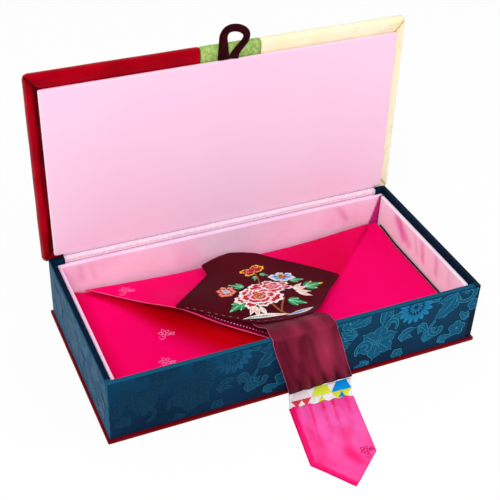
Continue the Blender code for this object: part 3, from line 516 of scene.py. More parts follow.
def cut_across(work, place, direction, **settings):
    """Cuts the whole mesh by a plane."""
    parts = work.verts[:] + work.edges[:] + work.faces[:]
    bmesh.ops.bisect_plane(work, geom=parts, plane_co=place, plane_no=direction, **settings)


def points_in(raised):
    """The points among what an extrusion made."""
    return [item for item in raised if isinstance(item, bmesh.types.BMVert)]


def clamp(value, low=0.0, high=1.0):
    return min(max(value, low), high)


def smoothstep(value):
    value = clamp(value)
    return value * value * (3 - 2 * value)


def ripple(point, size):
    """Soft unevenness between -1 and 1."""
    return noise.noise(Vector([value / size for value in point]))


print("helpers for pieces ready")

# %% [markdown]
# A board wrapped in silk has no sharp edge. A cube is cut into rows, and then every point outside a smaller core is
# pulled onto a round of the same radius, which rounds all edges and corners at once. Its UV map is the flat cloth.

# %% Wrapped boards


def rows_between(low, high, edge, fine, coarse):
    """Places for cuts: fine near both ends, coarse between them."""
    places = []
    for step in range(1, int(edge / fine) + 1):
        places += [low + step * fine, high - step * fine]
    inner_low, inner_high = low + edge, high - edge
    steps = max(1, int((inner_high - inner_low) / coarse))
    places += [inner_low + (inner_high - inner_low) * step / steps for step in range(1, steps)]
    return sorted(places)


def box_rows(low, high, *settings):
    """Cuts along x, y and z, from the width of the edge, the fine step and the coarse step. None means no cuts."""
    return [rows_between(low[axis], high[axis], *setting) if setting else () for axis, setting in enumerate(settings)]


def flat_map(work):
    """UV map in metres, laid on each face from the side it looks to."""
    uv = work.loops.layers.uv.verify()
    for face in work.faces:
        size = [abs(value) for value in face.normal]
        first, second = ((1, 2), (0, 2), (0, 1))[size.index(max(size))]
        for loop in face.loops:
            loop[uv].uv = (loop.vert.co[first], loop.vert.co[second])


def wrapped_board(low, high, radius, cuts, corner=None):
    """A bmesh box between two corners with round edges. corner is the plan radius where it is larger."""
    low, high = Vector(low), Vector(high)
    middle, half = (low + high) / 2, (high - low) / 2
    corner = corner or radius
    work = bmesh.new()
    bmesh.ops.create_cube(work, size=1.0)
    bmesh.ops.scale(work, vec=high - low, verts=work.verts)
    bmesh.ops.translate(work, vec=middle, verts=work.verts)
    for axis, places in enumerate(cuts):
        direction = Vector([float(index == axis) for index in range(3)])
        for place in places:
            cut_across(work, direction * place, direction)
    core = Vector((half.x - corner, half.y - corner))
    rise = max(half.z - radius, 0.0)
    inner = corner - radius
    for vert in work.verts:
        offset = vert.co - middle
        near = Vector((clamp(offset.x, -core.x, core.x), clamp(offset.y, -core.y, core.y)))
        past_core = Vector((offset.x, offset.y)) - near
        if past_core.length > inner:
            near += past_core.normalized() * inner if inner > 0 else Vector((0, 0))
        else:
            near = Vector((offset.x, offset.y))
        height = clamp(offset.z, -rise, rise)
        outward = Vector((offset.x - near.x, offset.y - near.y, offset.z - height))
        side = math.hypot(outward.x, outward.y)
        if side > 1e-7:
            outward = outward.normalized() * radius if abs(outward.z) > 1e-7 else outward * (radius / side)
            vert.co = middle + Vector((near.x + outward.x, near.y + outward.y, height + outward.z))
    bmesh.ops.recalc_face_normals(work, faces=work.faces)
    flat_map(work)
    return work


print("a wrapped board has", len(wrapped_board((0, 0, 0), (1, 1, 1), 0.1, ()).verts), "corners uncut")

# %% [markdown]
# Cloth that lies over something is a grid: each point has a share across and a share along, and a function says
# where that point of the cloth lies. Its thickness comes from a Solidify modifier.

# %% Cloth from a grid
SHEET = 0.0007


def thicken(piece, thickness, offset):
    """A live Solidify modifier, which keeps the sheet's mesh simple."""
    solid = piece.modifiers.new("thickness", "SOLIDIFY")
    solid.thickness = thickness
    solid.offset = offset


def cloth(name, columns, rows, size, place, finish, thickness=SHEET, paint=None):
    """A sheet of cloth of that flat size, each of whose points is carried to its place. paint says where folds are."""
    work = bmesh.new()
    bmesh.ops.create_grid(work, x_segments=columns, y_segments=rows, size=0.5)
    uv = work.loops.layers.uv.verify()
    for face in work.faces:
        for loop in face.loops:
            loop[uv].uv = ((loop.vert.co.x + 0.5) * size[0], (loop.vert.co.y + 0.5) * size[1])
    fold = work.verts.layers.float.new("fold")
    for vert in work.verts:
        s, t = vert.co.x + 0.5, vert.co.y + 0.5
        vert[fold] = clamp(paint(s, t)) if paint else 0.0
        vert.co = place(s, t)
    bmesh.ops.remove_doubles(work, verts=work.verts, dist=MERGE)
    bmesh.ops.recalc_face_normals(work, faces=work.faces)
    piece = piece_from(name, work, finish, sharp=60.0)
    thicken(piece, thickness, 0.0)
    return piece


print("cloth is", SHEET * 1000, "mm thick where nothing else is said")

# %% [markdown]
# Edges of cloth and stitched lines follow a few known points. More points between them make a line smooth, and
# places at equal distances carry stitches. A thin round edge, the piping, is a curve with a round section, which
# becomes a closed tube.

# %% Lines and piping


def between(first, second, share):
    return tuple(a + (b - a) * share for a, b in zip(first, second))


def smooth_line(points, rounds=2):
    """A line through points with middle points that make it a smooth curve."""
    for _ in range(rounds):
        line = []
        for index in range(len(points) - 1):
            before, after = points[max(index - 1, 0)], points[min(index + 2, len(points) - 1)]
            here, there = points[index], points[index + 1]
            line.append(here)
            line.append(tuple((9 * (b + c) - a - d) / 16 for a, b, c, d in zip(before, here, there, after)))
        points = line + [points[-1]]
    return points


def even_line(points, steps):
    """Places at equal distances along a line."""
    lengths = [math.dist(here, there) for here, there in zip(points, points[1:])]
    places = []
    for step in range(steps + 1):
        left = sum(lengths) * step / steps
        for index, length in enumerate(lengths):
            if left <= length or index == len(lengths) - 1:
                places.append(between(points[index], points[index + 1], min(left / length, 1)))
                break
            left -= length
    return places


def tube(name, points, radius, cyclic=False, resolution=2, widths=None):
    """A closed bmesh tube along a line. widths are shares of the radius."""
    curve = bpy.data.curves.new(name, "CURVE")
    curve.dimensions = "3D"
    curve.bevel_depth = radius
    curve.bevel_resolution = resolution
    curve.use_fill_caps = not cyclic
    spline = curve.splines.new("POLY")
    spline.points.add(len(points) - 1)
    for index, (point, place) in enumerate(zip(spline.points, points)):
        point.co = (*place, 1)
        point.radius = widths[index] if widths else 1.0
    spline.use_cyclic_u = cyclic
    guide = bpy.data.objects.new(name + "_line", curve)
    SCENE.collection.objects.link(guide)
    bpy.context.view_layer.update()
    mesh = bpy.data.meshes.new_from_object(guide.evaluated_get(bpy.context.evaluated_depsgraph_get()))
    bpy.data.objects.remove(guide, do_unlink=True)
    work = bmesh.new()
    work.from_mesh(mesh)
    bpy.data.meshes.remove(mesh)
    bmesh.ops.remove_doubles(work, verts=work.verts, dist=MERGE)
    bmesh.ops.recalc_face_normals(work, faces=work.faces)
    flat_map(work)
    return work


def piping(name, points, radius, finish, slot, cyclic=False):
    """A thin round edge of cloth on the tray."""
    return dress(piece_from(name, tube(name, points, radius, cyclic), finish, sharp=60.0), slot)


print("a line of 3 points gets", len(smooth_line([(0, 0), (1, 0), (1, 1)])), "points")

# %% [markdown]
# Flowers, woven or stitched, are made of one shape: a disc drawn out to a petal and given a thickness. Lobes make
# its edge wavy, and a point narrows its end. Every petal knows its own UV map and its thread's colour. When a whole
# flower is laid out flat, its points are carried onto the surface that it grows on.

# %% Petals
PETAL_THICKNESS = 0.00004
STEM_STEP = 0.000001


def petal(work, place, angle, length, width, thread, level=0.0, point=0.0, lobes=0, segments=14, root=0.0,
          bend=0.0, wave=0.10):
    """One flat shape from its root outwards. level lifts it over the shapes below it, bend curves it sideways."""
    uv = work.loops.layers.uv.verify()
    tint = work.loops.layers.float_color.get("thread") or work.loops.layers.float_color.new("thread")
    made = bmesh.ops.create_circle(work, cap_ends=True, segments=segments, radius=1.0)["verts"]
    top = points_in(bmesh.ops.extrude_face_region(work, geom=[made[0].link_faces[0]])["geom"])
    for item in {item for vert in made + top for item in vert.link_faces}:
        for loop in item.loops:
            loop[uv].uv = (loop.vert.co.x, loop.vert.co.y)
            loop[tint] = thread
    cosine, sine = math.cos(angle), math.sin(angle)
    for vert in made + top:
        x, y = vert.co.x, vert.co.y
        ruffle = 1.0 + (wave * math.cos(lobes * math.atan2(y, x)) if lobes else 0.0)
        narrow = 1.0 - (point if x > 0 else root) * x * x
        along = (x * ruffle + 1.0) * length / 2
        across = y * ruffle * narrow * width / 2 + bend * (1 - x * x) * length
        high = level + (PETAL_THICKNESS if vert in top else -PETAL_THICKNESS)
        vert.co = (place[0] + along * cosine - across * sine, place[1] + along * sine + across * cosine, high)
    return made + top


def stem(work, points, width, thread, level=0.0):
    """A stem or curl as a row of short shapes."""
    places = even_line(smooth_line(points, 1), max(3, 2 * len(points)))
    for index, (here, there) in enumerate(zip(places, places[1:])):
        angle = math.atan2(there[1] - here[1], there[0] - here[0])
        petal(work, here, angle, math.dist(here, there) * 1.3, width, thread, level + STEM_STEP * index, segments=8)


def append(work, part, turned=0.0, stretched=(1, 1), place=(0, 0, 0)):
    """Stretches, turns and moves a part that was built alone, and adds it. Small parts are quicker to build."""
    bmesh.ops.scale(part, vec=(*stretched, 1), verts=part.verts)
    bmesh.ops.rotate(part, cent=(0, 0, 0), matrix=Matrix.Rotation(turned, 3, "Z"), verts=part.verts)
    bmesh.ops.translate(part, vec=place, verts=part.verts)
    mesh = bpy.data.meshes.new("part")
    part.to_mesh(mesh)
    part.free()
    work.from_mesh(mesh)
    bpy.data.meshes.remove(mesh)


def lay_on(name, work, finish, slot, surface):
    """Carries flat shapes onto a surface, given as a function of place and height, as one piece on the tray."""
    for vert in work.verts:
        vert.co = surface(*vert.co)
    bmesh.ops.recalc_face_normals(work, faces=work.faces)
    return dress(piece_from(name, work, finish), slot)


test = bmesh.new()
petal(test, (0, 0), 0, 1, 1, FULL)
print("a petal has", len(test.faces), "faces and", len([edge for edge in test.edges if edge.is_boundary]), "open edges")
test.free()

# %% [markdown]
# ## Base plate
# The red plate below the tray is card wrapped in silk, with soft edges. A wrapped board gives its shape.

# %% Base plate
low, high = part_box("base_cloth")
cuts = box_rows(low, high, (0.0012, 0.0004, 0.02), (0.0012, 0.0004, 0.02), (0.0009, 0.0003, 0.001))
# The plate's silk is the darker copy of the red silk, as painted shade.
plate = piece_from("base_plate", wrapped_board(low, high, 0.0007, cuts, 0.0012), SHADED_RED_SILK)
dress(plate, "red_silk", "base_cloth")

# %% [markdown]
# ## Tray
# The navy damask wraps the card walls, runs over the rim and 14 mm down inside. A cube gets round upright edges, its
# top face is inset by the wall's thickness and pushed down, and the pushed face is taken out.

# %% Tray cover
TRAY_LOW, TRAY_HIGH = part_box("tray_cloth")
TRAY_SIZE = (TRAY_HIGH.x - TRAY_LOW.x, TRAY_HIGH.y - TRAY_LOW.y)
WALL = 0.0040
TURN_IN = 0.0140
TURN_UNDER = 0.012
UPRIGHT_RADIUS = 0.0011
DAMASK_THICKNESS = 0.0004
RIM_START = 0.0016
RIM_ROWS = ((0.0, 0.0008), (0.00012, 0.0004), (0.0005, 0.0), (WALL - 0.0005, 0.0), (WALL - 0.00012, 0.0004),
            (WALL, 0.0010), (WALL, TURN_IN))


def extend_face(work, face, inset, level):
    """Extrudes a level face and leaves it at a new inset and height. The inset 0 is the tray's outside."""
    raised = bmesh.ops.extrude_face_region(work, geom=[face])["geom"]
    points = points_in(raised)
    was = max(vert.co.x for vert in points), max(vert.co.y for vert in points)
    now = TRAY_SIZE[0] / 2 - inset, TRAY_SIZE[1] / 2 - inset
    bmesh.ops.scale(work, vec=(now[0] / was[0], now[1] / was[1], 1), verts=points)
    for vert in points:
        vert.co.z = level
    if face.is_valid:
        bmesh.ops.delete(work, geom=[face], context="FACES_ONLY")
    return next(item for item in raised if isinstance(item, bmesh.types.BMFace))


work = bmesh.new()
bmesh.ops.create_cube(work, size=1.0)
bmesh.ops.scale(work, vec=TRAY_HIGH - TRAY_LOW, verts=work.verts)
bmesh.ops.translate(work, vec=(TRAY_LOW + TRAY_HIGH) / 2, verts=work.verts)
upright = [edge for edge in work.edges if abs(edge.verts[0].co.z - edge.verts[1].co.z) > UPRIGHT_RADIUS]
bmesh.ops.bevel(work, geom=upright, offset=UPRIGHT_RADIUS, offset_type="OFFSET", segments=4, profile=0.5,
                affect="EDGES", material=-1)
face = max(work.faces, key=lambda item: item.normal.z)
for vert in face.verts:
    vert.co.z = TRAY_HIGH.z - RIM_START
for inset, depth in RIM_ROWS:
    face = extend_face(work, face, inset, TRAY_HIGH.z - depth)
bmesh.ops.delete(work, geom=[face], context="FACES_ONLY")
face = min(work.faces, key=lambda item: item.normal.z)
face = extend_face(work, face, TURN_UNDER, TRAY_LOW.z)
bmesh.ops.delete(work, geom=[face], context="FACES_ONLY")
bmesh.ops.recalc_face_normals(work, faces=work.faces)
outer = max(work.faces, key=lambda item: item.calc_center_median().x)
if outer.normal.x < 0:
    bmesh.ops.reverse_faces(work, faces=work.faces)
print("tray skin:", len(work.faces), "faces, outer side looks to x", round(outer.normal.x, 2))
flat_map(work)
tray = piece_from("tray_cover", work, DAMASK)
thicken(tray, DAMASK_THICKNESS, -1.0)
dress(tray, "navy_damask", "tray_cloth")

# %% [markdown]
# The woven figures repeat every 130 mm: a chrysanthemum, a pointed six-leaved flower, lobed leaves, curls and buds,
# the old stock of damask. Each shape is laid out twice, a little larger as the outline and then as the ground above
# it, so that shapes that overlap share one outline. Levels 0.0006 mm apart keep shapes that overlap from flickering.

# %% Damask figures
OUTLINE = 0.00040
LEVEL = 0.0000006
GROUND_LEVELS, VEIN_LEVELS, FIGURE_LEVELS = 24, 48, 80
GROUND_THREAD, LINE_THREAD, BRIGHT_THREAD = NONE, (0.5, 0.5, 0.5, 1), FULL


def woven(work, shapes, fill=GROUND_THREAD, veined=True):
    """Lays out shapes, given as (place, angle, length, width, settings), first as outlines and then as grounds."""
    for index, (place, angle, length, width, settings) in enumerate(shapes):
        root = (place[0] - OUTLINE * math.cos(angle), place[1] - OUTLINE * math.sin(angle))
        petal(work, root, angle, length + 2 * OUTLINE, width + 2 * OUTLINE, LINE_THREAD, LEVEL * index, **settings)
        petal(work, place, angle, length, width, fill, LEVEL * (GROUND_LEVELS + index), **settings)
        if veined:
            petal(work, place, angle, length * 0.8, OUTLINE, LINE_THREAD, LEVEL * (VEIN_LEVELS + index),
                  bend=settings.get("bend", 0.0) * 1.2)


def around(count, start, turned, length, width, **settings):
    """Shapes round the middle, which begin at the distance start from it."""
    angles = [2 * math.pi * index / count + turned for index in range(count)]
    return [((start * math.cos(angle), start * math.sin(angle)), angle, length, width, settings) for angle in angles]


def chrysanthemum(work, radius):
    """Two rings of bright narrow petals with a dark vein."""
    rings = (around(16, radius * 0.42, 0.1, radius * 0.58, radius * 0.265, root=0.5)
             + around(12, radius * 0.12, 0.0, radius * 0.26, radius * 0.10))
    for index, (place, angle, length, width, settings) in enumerate(rings):
        petal(work, place, angle, length, width, BRIGHT_THREAD, LEVEL * (30 + index), **settings)
        petal(work, place, angle, length * 0.6, OUTLINE, GROUND_THREAD, LEVEL * (62 + index))


def pointed_flower(work, radius, turned=0.0):
    """Six pointed leaves and three small ones on them."""
    settings = dict(point=0.72, lobes=5, wave=0.12, segments=24)
    woven(work, around(6, radius * 0.12, turned, radius * 0.88, radius * 0.62, **settings))
    woven(work, around(3, radius * 0.05, turned + 0.5, radius * 0.42, radius * 0.20, point=0.8))


def blossom(work, radius, turned=0.0):
    """Five round petals and a middle."""
    woven(work, around(5, radius * 0.12, turned, radius * 0.88, radius * 0.80), veined=False)
    woven(work, [((-radius * 0.2, 0), 0, radius * 0.4, radius * 0.4, {})], LINE_THREAD, False)


def lobed_leaf(work, size, angle, bend=0.12):
    """A broad leaf with a point and two side lobes."""
    settings = dict(point=0.75, root=0.3, lobes=7, wave=0.09, segments=28, bend=bend)
    woven(work, [((0, 0), angle + swing, size * share, size * 0.42 * share, settings)
                 for swing, share in ((0.62, 0.62), (-0.58, 0.56), (0.0, 1.0))])


def curl(work, size, angle, side=1):
    """A tendril that rolls up into a bud."""
    shapes = []
    x = y = 0.0
    for step in range(8):
        shapes.append(((x, y), angle, size * 0.26, size * (0.10 + 0.02 * step), {}))
        x += size * 0.19 * math.cos(angle)
        y += size * 0.19 * math.sin(angle)
        angle += side * (0.30 + 0.08 * step)
    woven(work, shapes, veined=False)


print("five kinds of woven figures")

# %% [markdown]
# One repeat is a list of figures with their places and sizes in millimetres. It is built once, and its copies are
# laid on all four sides, where planes trim them near the walls' edges.

# %% Damask repeat
mm = 0.001
REPEAT = 130 * mm
FIGURES = (
    (blossom, 4, 22, 5.5), (lobed_leaf, 5, 8, 11, 0.6), (lobed_leaf, 8, 34, 17, -0.9), (lobed_leaf, 14, 12, 12, 3.0),
    (lobed_leaf, 17, 45, 12, -0.2), (pointed_flower, 22, 24, 10.5, 0.1), (curl, 24, 6, 13, 0.5),
    (blossom, 31, 42, 6.0), (lobed_leaf, 37, 31, 13, 2.7), (curl, 38, 12, 15, 1.7, -1), (lobed_leaf, 45, 45, 16, 3.5),
    (lobed_leaf, 48, 4, 12, 3.4), (pointed_flower, 53.5, 19, 14.5, 0.35), (lobed_leaf, 60, 47, 14, -1.9, -0.1),
    (lobed_leaf, 62, 34, 10, 0.5), (curl, 66, 27, 12, 1.2), (blossom, 70, 4, 4.2, 0.9),
    (lobed_leaf, 73, 14, 13, 0.75, 0.3), (chrysanthemum, 80, 41, 13.5), (lobed_leaf, 84, 23, 12, -0.8),
    (lobed_leaf, 91, 8, 13, 0.9), (curl, 97, 24, 15, -2.3), (lobed_leaf, 98, 44, 8, 3.0), (lobed_leaf, 102, 4, 11, 0.2),
    (blossom, 103, 30, 4.6), (lobed_leaf, 110, 44, 23, -2.2), (lobed_leaf, 113, 46, 16, -0.1, 0.2),
    (curl, 112, 38, 18, -0.6), (blossom, 116, 12, 6.5, 0.3), (lobed_leaf, 124, 20, 10, 2.4),
    (blossom, 127, 30, 5.0, 0.5),
)
SIDES = {
    "front": (260 * mm, lambda u, v, h: (TRAY_LOW.x + u, TRAY_LOW.y - h, TRAY_LOW.z + v)),
    "right": (130.7 * mm, lambda u, v, h: (TRAY_HIGH.x + h, TRAY_LOW.y + u, TRAY_LOW.z + v)),
    "back": (260 * mm, lambda u, v, h: (TRAY_HIGH.x - u, TRAY_HIGH.y + h, TRAY_LOW.z + v)),
    "left": (130.7 * mm, lambda u, v, h: (TRAY_LOW.x - h, TRAY_HIGH.y - u, TRAY_LOW.z + v)),
}
SIDE_MARGIN, RIM_MARGIN, HINGE_MARGIN = 1.2 * mm, 0.9 * mm, 22.8 * mm
work = bmesh.new()
for index, (figure, x, y, size, *settings) in enumerate(FIGURES):
    part = bmesh.new()
    figure(part, size * mm, *settings)
    append(work, part, place=(x * mm, y * mm, index % 6 * FIGURE_LEVELS * LEVEL))
repeat = bpy.data.meshes.new("damask_repeat")
work.to_mesh(repeat)
work.free()
for side, (width, surface) in SIDES.items():
    work = bmesh.new()
    for index in range(round(width / REPEAT)):
        before = len(work.verts)
        work.from_mesh(repeat)
        bmesh.ops.translate(work, vec=(index * REPEAT, 0, 0), verts=work.verts[before:])
    tall = TRAY_HIGH.z - TRAY_LOW.z - (HINGE_MARGIN if side == "back" else RIM_MARGIN)
    for limit, outward in (((SIDE_MARGIN, 0, 0), (-1, 0, 0)), ((width - SIDE_MARGIN, 0, 0), (1, 0, 0)),
                           ((0, SIDE_MARGIN, 0), (0, -1, 0)), ((0, tall, 0), (0, 1, 0))):
        cut_across(work, limit, outward, clear_outer=True)
        bmesh.ops.holes_fill(work, edges=[edge for edge in work.edges if edge.is_boundary], sides=0)
    lay_on("damask_" + side, work, FIGURE, "navy_damask", surface)

# %% [markdown]
# ## Lining
# Inside the tray stand four card strips in pink satin, folded over at the top. They are thin wrapped boards whose
# faces are a little uneven, with soft folds. Each fold is a line with a width and a depth, all in metres. The folds
# and a tucked wedge at the back right corner are painted magenta, as painted shade.

# %% Liners
LINER_FOLDS = {
    "right": (((0.0340, 0.0450), (0.0220, 0.0290), 0.0048, 0.50), ((0.0310, 0.0400), (0.0140, 0.0290), 0.0050, 0.46),
              ((0.0080, 0.0440), (0.0010, 0.0300), 0.0026, 0.30), ((-0.0020, 0.0448), (-0.0065, 0.0283), 0.0023, 0.62),
              ((-0.0212, 0.0440), (-0.0239, 0.0291), 0.0024, 0.50),
              ((-0.0380, 0.0420), (-0.0400, 0.0300), 0.0026, 0.22)),
    "left": (((0.0560, 0.0470), (0.0510, 0.0260), 0.0048, 1.00), ((-0.0500, 0.0470), (-0.0460, 0.0300), 0.0020, 0.35)),
    "back": (((-0.1120, 0.0470), (-0.1090, 0.0290), 0.0022, 0.25), ((-0.1030, 0.0400), (-0.1000, 0.0280), 0.0018, 0.16),
             ((0.0850, 0.0450), (0.0950, 0.0300), 0.0026, 0.32)),
    "front": (((-0.1000, 0.0470), (-0.0950, 0.0290), 0.0020, 0.3), ((0.0900, 0.0470), (0.0960, 0.0290), 0.0020, 0.3)),
}
FOLD_DEPTH, FACE_UNEVEN = 0.0006, 0.00025
FOLDS_BELOW_TOP = 0.005
GATHER_TOP, GATHER_WIDE, GATHER_TALL = 0.0440, 0.0044, 0.0150
GATHER_END, GATHER_SOFT = 0.1228, 0.0012
LINER_RADIUS, LINER_CORNER = 0.0012, 0.00121
LONG_ROWS, THIN_ROWS, TALL_ROWS = (0.012, 0.0012, 0.0018), (0.0012, 0.0004, 0.002), (0.0024, 0.0006, 0.002)


def fold_lines(point, lines):
    """Height of soft ridges, each given as two ends, a width and a height, in the plane of two axes."""
    total = 0.0
    for (x0, y0), (x1, y1), wide, tall in lines:
        along = Vector((x1 - x0, y1 - y0))
        offset = Vector((point[0] - x0, point[1] - y0))
        share = offset.dot(along) / along.length_squared
        if -0.2 < share < 1.2:
            nearest = along * clamp(share)
            distance = (offset - nearest).length / wide
            total += tall * math.exp(-distance * distance)
    return total


def gather(side, place, height):
    """Where the back strip meets the right one, a wedge that widens downwards is tucked in and painted as shade."""
    if side != "back" or height >= GATHER_TOP:
        return 0.0
    wide = GATHER_WIDE * (GATHER_TOP - height) / GATHER_TALL
    return 1 - smoothstep((GATHER_END - place - wide) / GATHER_SOFT)


for side, folds in LINER_FOLDS.items():
    low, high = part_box("liner_silk_" + side)
    run, thin = (1, 0) if side in ("left", "right") else (0, 1)
    inward = -1 if side in ("back", "right") else 1
    rows = [THIN_ROWS, THIN_ROWS, TALL_ROWS]
    rows[run] = LONG_ROWS
    work = wrapped_board(low, high, LINER_RADIUS, box_rows(low, high, *rows), LINER_CORNER)
    paint = work.verts.layers.float.new("fold")
    for vert in work.verts:
        if (vert.co[thin] - (low[thin] + high[thin]) / 2) * inward < 0.0005:
            continue
        depth = fold_lines((vert.co[run], vert.co.z), folds) * smoothstep((high.z - vert.co.z) / FOLDS_BELOW_TOP)
        tucked = gather(side, vert.co[run], vert.co.z)
        # Painted shade: the pink silk's magenta in the folds and in the tucked wedge.
        vert[paint] = clamp(max(1.15 * depth * (0.9 + 0.3 * ripple(vert.co, 0.004)), tucked))
        vert.co[thin] += inward * (FACE_UNEVEN * ripple(vert.co, 0.03) - FOLD_DEPTH * max(depth, tucked))
    flat_map(work)
    # The right liner gets the lighter copy of the pink silk, as painted light.
    liner = piece_from("liner_" + side, work, LIT_PINK_SILK if side == "right" else PINK_SILK)
    dress(liner, "pink_silk", "liner_silk_" + side)

# %% [markdown]
# The padded floor insert hardly shows. It is a wrapped board, painted all over in the colour of shade.

# %% Floor pad
low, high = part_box("floor_pad_cover")
cuts = box_rows(low, high, (0.004, 0.001, 0.01), (0.004, 0.001, 0.01), (0.002, 0.0007, 0.004))
work = wrapped_board(low, high, 0.002, cuts)
paint = work.verts.layers.float.new("fold")
for vert in work.verts:
    vert[paint] = 1.0
pad = piece_from("floor_pad", work, PINK_SILK)
dress(pad, "pink_silk", "floor_pad_cover")

# %% [markdown]
# ## Hinge
# A pink strip is glued over the back rim, and a navy strip behind it carries the lid. The pink strip is a grid bent
# over the rim, and thin rolled edges stand at its two long sides, in a grey-mauve that is painted shadow.

# %% Hinge strips
STRIP_LOW, STRIP_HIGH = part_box("hinge_strip")
STRIP_LENGTH = STRIP_HIGH.x - STRIP_LOW.x
STRIP_COLUMNS, STRIP_ROWS = 60, 14
STRIP_CLOTH, FOLD_CLOTH = 0.0004, 0.0003
HEM_RADIUS = 0.00018
inset = STRIP_CLOTH / 2
over = [(STRIP_LOW.y + inset, STRIP_LOW.z - 0.0011), (STRIP_LOW.y + inset, STRIP_HIGH.z - 0.0009),
        (STRIP_LOW.y + 0.0005, STRIP_HIGH.z - 0.0004), (STRIP_LOW.y + 0.0011, STRIP_HIGH.z - inset),
        (STRIP_HIGH.y, STRIP_HIGH.z - inset)]
over_line = even_line(over, STRIP_ROWS)
strip = cloth("hinge_strip_silk", STRIP_COLUMNS, STRIP_ROWS, (STRIP_LENGTH, 0.0068), lambda s, t: Vector(
    (STRIP_LOW.x + s * STRIP_LENGTH, *over_line[round(t * STRIP_ROWS)])), STRIP_SILK, STRIP_CLOTH)
dress(strip, "pink_silk", "hinge_strip")
# The hems are rolled edges in the grey-mauve of painted shadow.
for name, y, z in (("hinge_hem_back", STRIP_HIGH.y - 0.0011, STRIP_HIGH.z),
                   ("hinge_hem_front", STRIP_LOW.y, STRIP_LOW.z + 0.0002)):
    piping(name, [(x, y, z) for x in (STRIP_LOW.x, 0, STRIP_HIGH.x)], HEM_RADIUS, SEAM_GREY, "pink_silk")
low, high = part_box("hinge_cloth")
cuts = box_rows(low, high, (0.0008, 0.0002, 0.01), None, (0.0008, 0.0002, 0.004))
back_strip = piece_from("hinge_back_strip", wrapped_board(low, high, 0.0002, cuts), DAMASK)
dress(back_strip, "navy_damask", "hinge_cloth")

# %% [markdown]
# A narrow fold of the same cloth joins the strip to the lid, with a navy fold behind it. They are the hinge itself.

# %% Hinge fold
FOLD_LOW, FOLD_HIGH = Vector((0, 0.0647, 0.0485)), Vector((0, 0.0640, 0.0500))
FOLD_WIDE = 0.0018
for name, out, finish, slot in (("hinge_fold", 0.0, STRIP_SILK, "pink_silk"),
                                ("hinge_fold_back", 0.0005, DAMASK, "navy_damask")):
    fold = cloth(name, STRIP_COLUMNS, 8, (STRIP_LENGTH, FOLD_WIDE), lambda s, t: (
        FOLD_LOW + (FOLD_HIGH - FOLD_LOW) * t + Vector((STRIP_LOW.x + s * STRIP_LENGTH, out, 0))), finish, FOLD_CLOTH)
    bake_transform(fold)
    print(name, len(fold.data.polygons), "faces between tray and lid")

# %% [markdown]
# ## Lid
# The lid is modelled lying closed and then turned open about its hinge line. Its three silks are padded forms that
# share one outline. At each corner of the border round the pink lining the cloth has a mitre fold, with small pulls
# beside it. These are the lines of the folds.

# %% Lid folds
HINGE = Vector((0, 0.0640, 0.0495))
OPEN = Matrix.Translation(HINGE) @ Matrix.Rotation(-math.radians(92.0), 4, "X")
LID_HALF = 0.1336
LID_FRONT, LID_BACK = -0.1325, 0.0055
LID_LOW, LID_HIGH = 0.0025, 0.0078
MITRE_OUT, MITRE_IN = (0.0008, 0.0010), (0.0090, 0.0112)
MITRE_WIDE, CREASE_WIDE, PULL_WIDE = 0.0008, 0.0005, 0.0011
MITRES, CREASES, PULLS = [], [], []
for sx in (-1, 1):
    for end, inward in ((LID_FRONT, 1), (LID_BACK, -1)):
        corner, inner = [(sx * (LID_HALF - x), end + inward * y) for x, y in (MITRE_OUT, MITRE_IN)]
        MITRES.append((corner, inner, MITRE_WIDE, 1.0))
        CREASES.append((corner, inner, CREASE_WIDE, 0.9))
        for share, swing in ((0.25, 0.010), (0.55, 0.016), (0.85, 0.024)):
            start = between(corner, inner, share)
            PULLS.append((start, (start[0] - sx * swing, start[1] + inward * 0.0012), PULL_WIDE, 1.0))
            PULLS.append((start, (start[0] + sx * 0.0012, start[1] + inward * swing), PULL_WIDE, 0.8))
print("lid folds:", len(MITRES), "mitres and", len(PULLS), "pulls")

# %% [markdown]
# The border round the lining isn't flat. One function of the place says how far it stands out, and another how much
# painted shade a point gets, which gives its colour: soft bands, more in the folds and seams, and most on the left
# border towards the lining.

# %% Border of the lid
SEAMS = (-0.0190, 0.0235)
BORDER = 0.0098


def edge_distance(x, y):
    """Distance from the lid's sides, and from its front and back."""
    return LID_HALF - abs(x), min(y - LID_FRONT, LID_BACK - y)


def border_height(x, y):
    """The border round the lining: a soft crown, uneven along its edge, with mitres and pulls at the corners."""
    across, along = edge_distance(x, y)
    edge = min(across, along)
    crown = math.sin(math.pi * min(edge / BORDER, 1.0)) ** 0.7 if edge > 0 else 0.0
    wave = ripple((x * 0.2, y, 3) if across < along else (x, y * 0.2, 3), 0.0075)
    height = crown * (0.0008 + 0.0005 * wave)
    return height + 0.0003 * fold_lines((x, y), PULLS) - 0.0009 * fold_lines((x, y), MITRES)


def border_shade(x, y, seam):
    """Share of painted shade: soft bands, the folds and seams, and the left border towards the lining."""
    edge = min(edge_distance(x, y))
    shade = 0.18 + 0.22 * ripple((x * 0.6, y * 0.6, 4), 0.008)
    if x < 0.03 - LID_HALF and edge == LID_HALF + x:
        shade += 0.75 * smoothstep((edge - 0.0036) / 0.0028) + 0.3 * ripple((x * 2, y * 0.35, 6), 0.005)
    if x > SEAMS[1]:
        shade = 0.0
    folds = fold_lines((x, y), CREASES) + 0.25 * fold_lines((x, y), PULLS)
    return clamp(max(shade, 0.0) + folds + 0.5 * math.exp(-(seam / 0.0005) ** 2))


print("in front the border stands out by", round(border_height(0, LID_FRONT + BORDER / 2) * 1000, 2), "mm")

# %% [markdown]
# Each silk is the same wrapped board, cut where the silks are sewn together. It sinks a little at a seam and rises
# to a soft crown outside. Its sides are a little uneven, and the right one is pulled in.

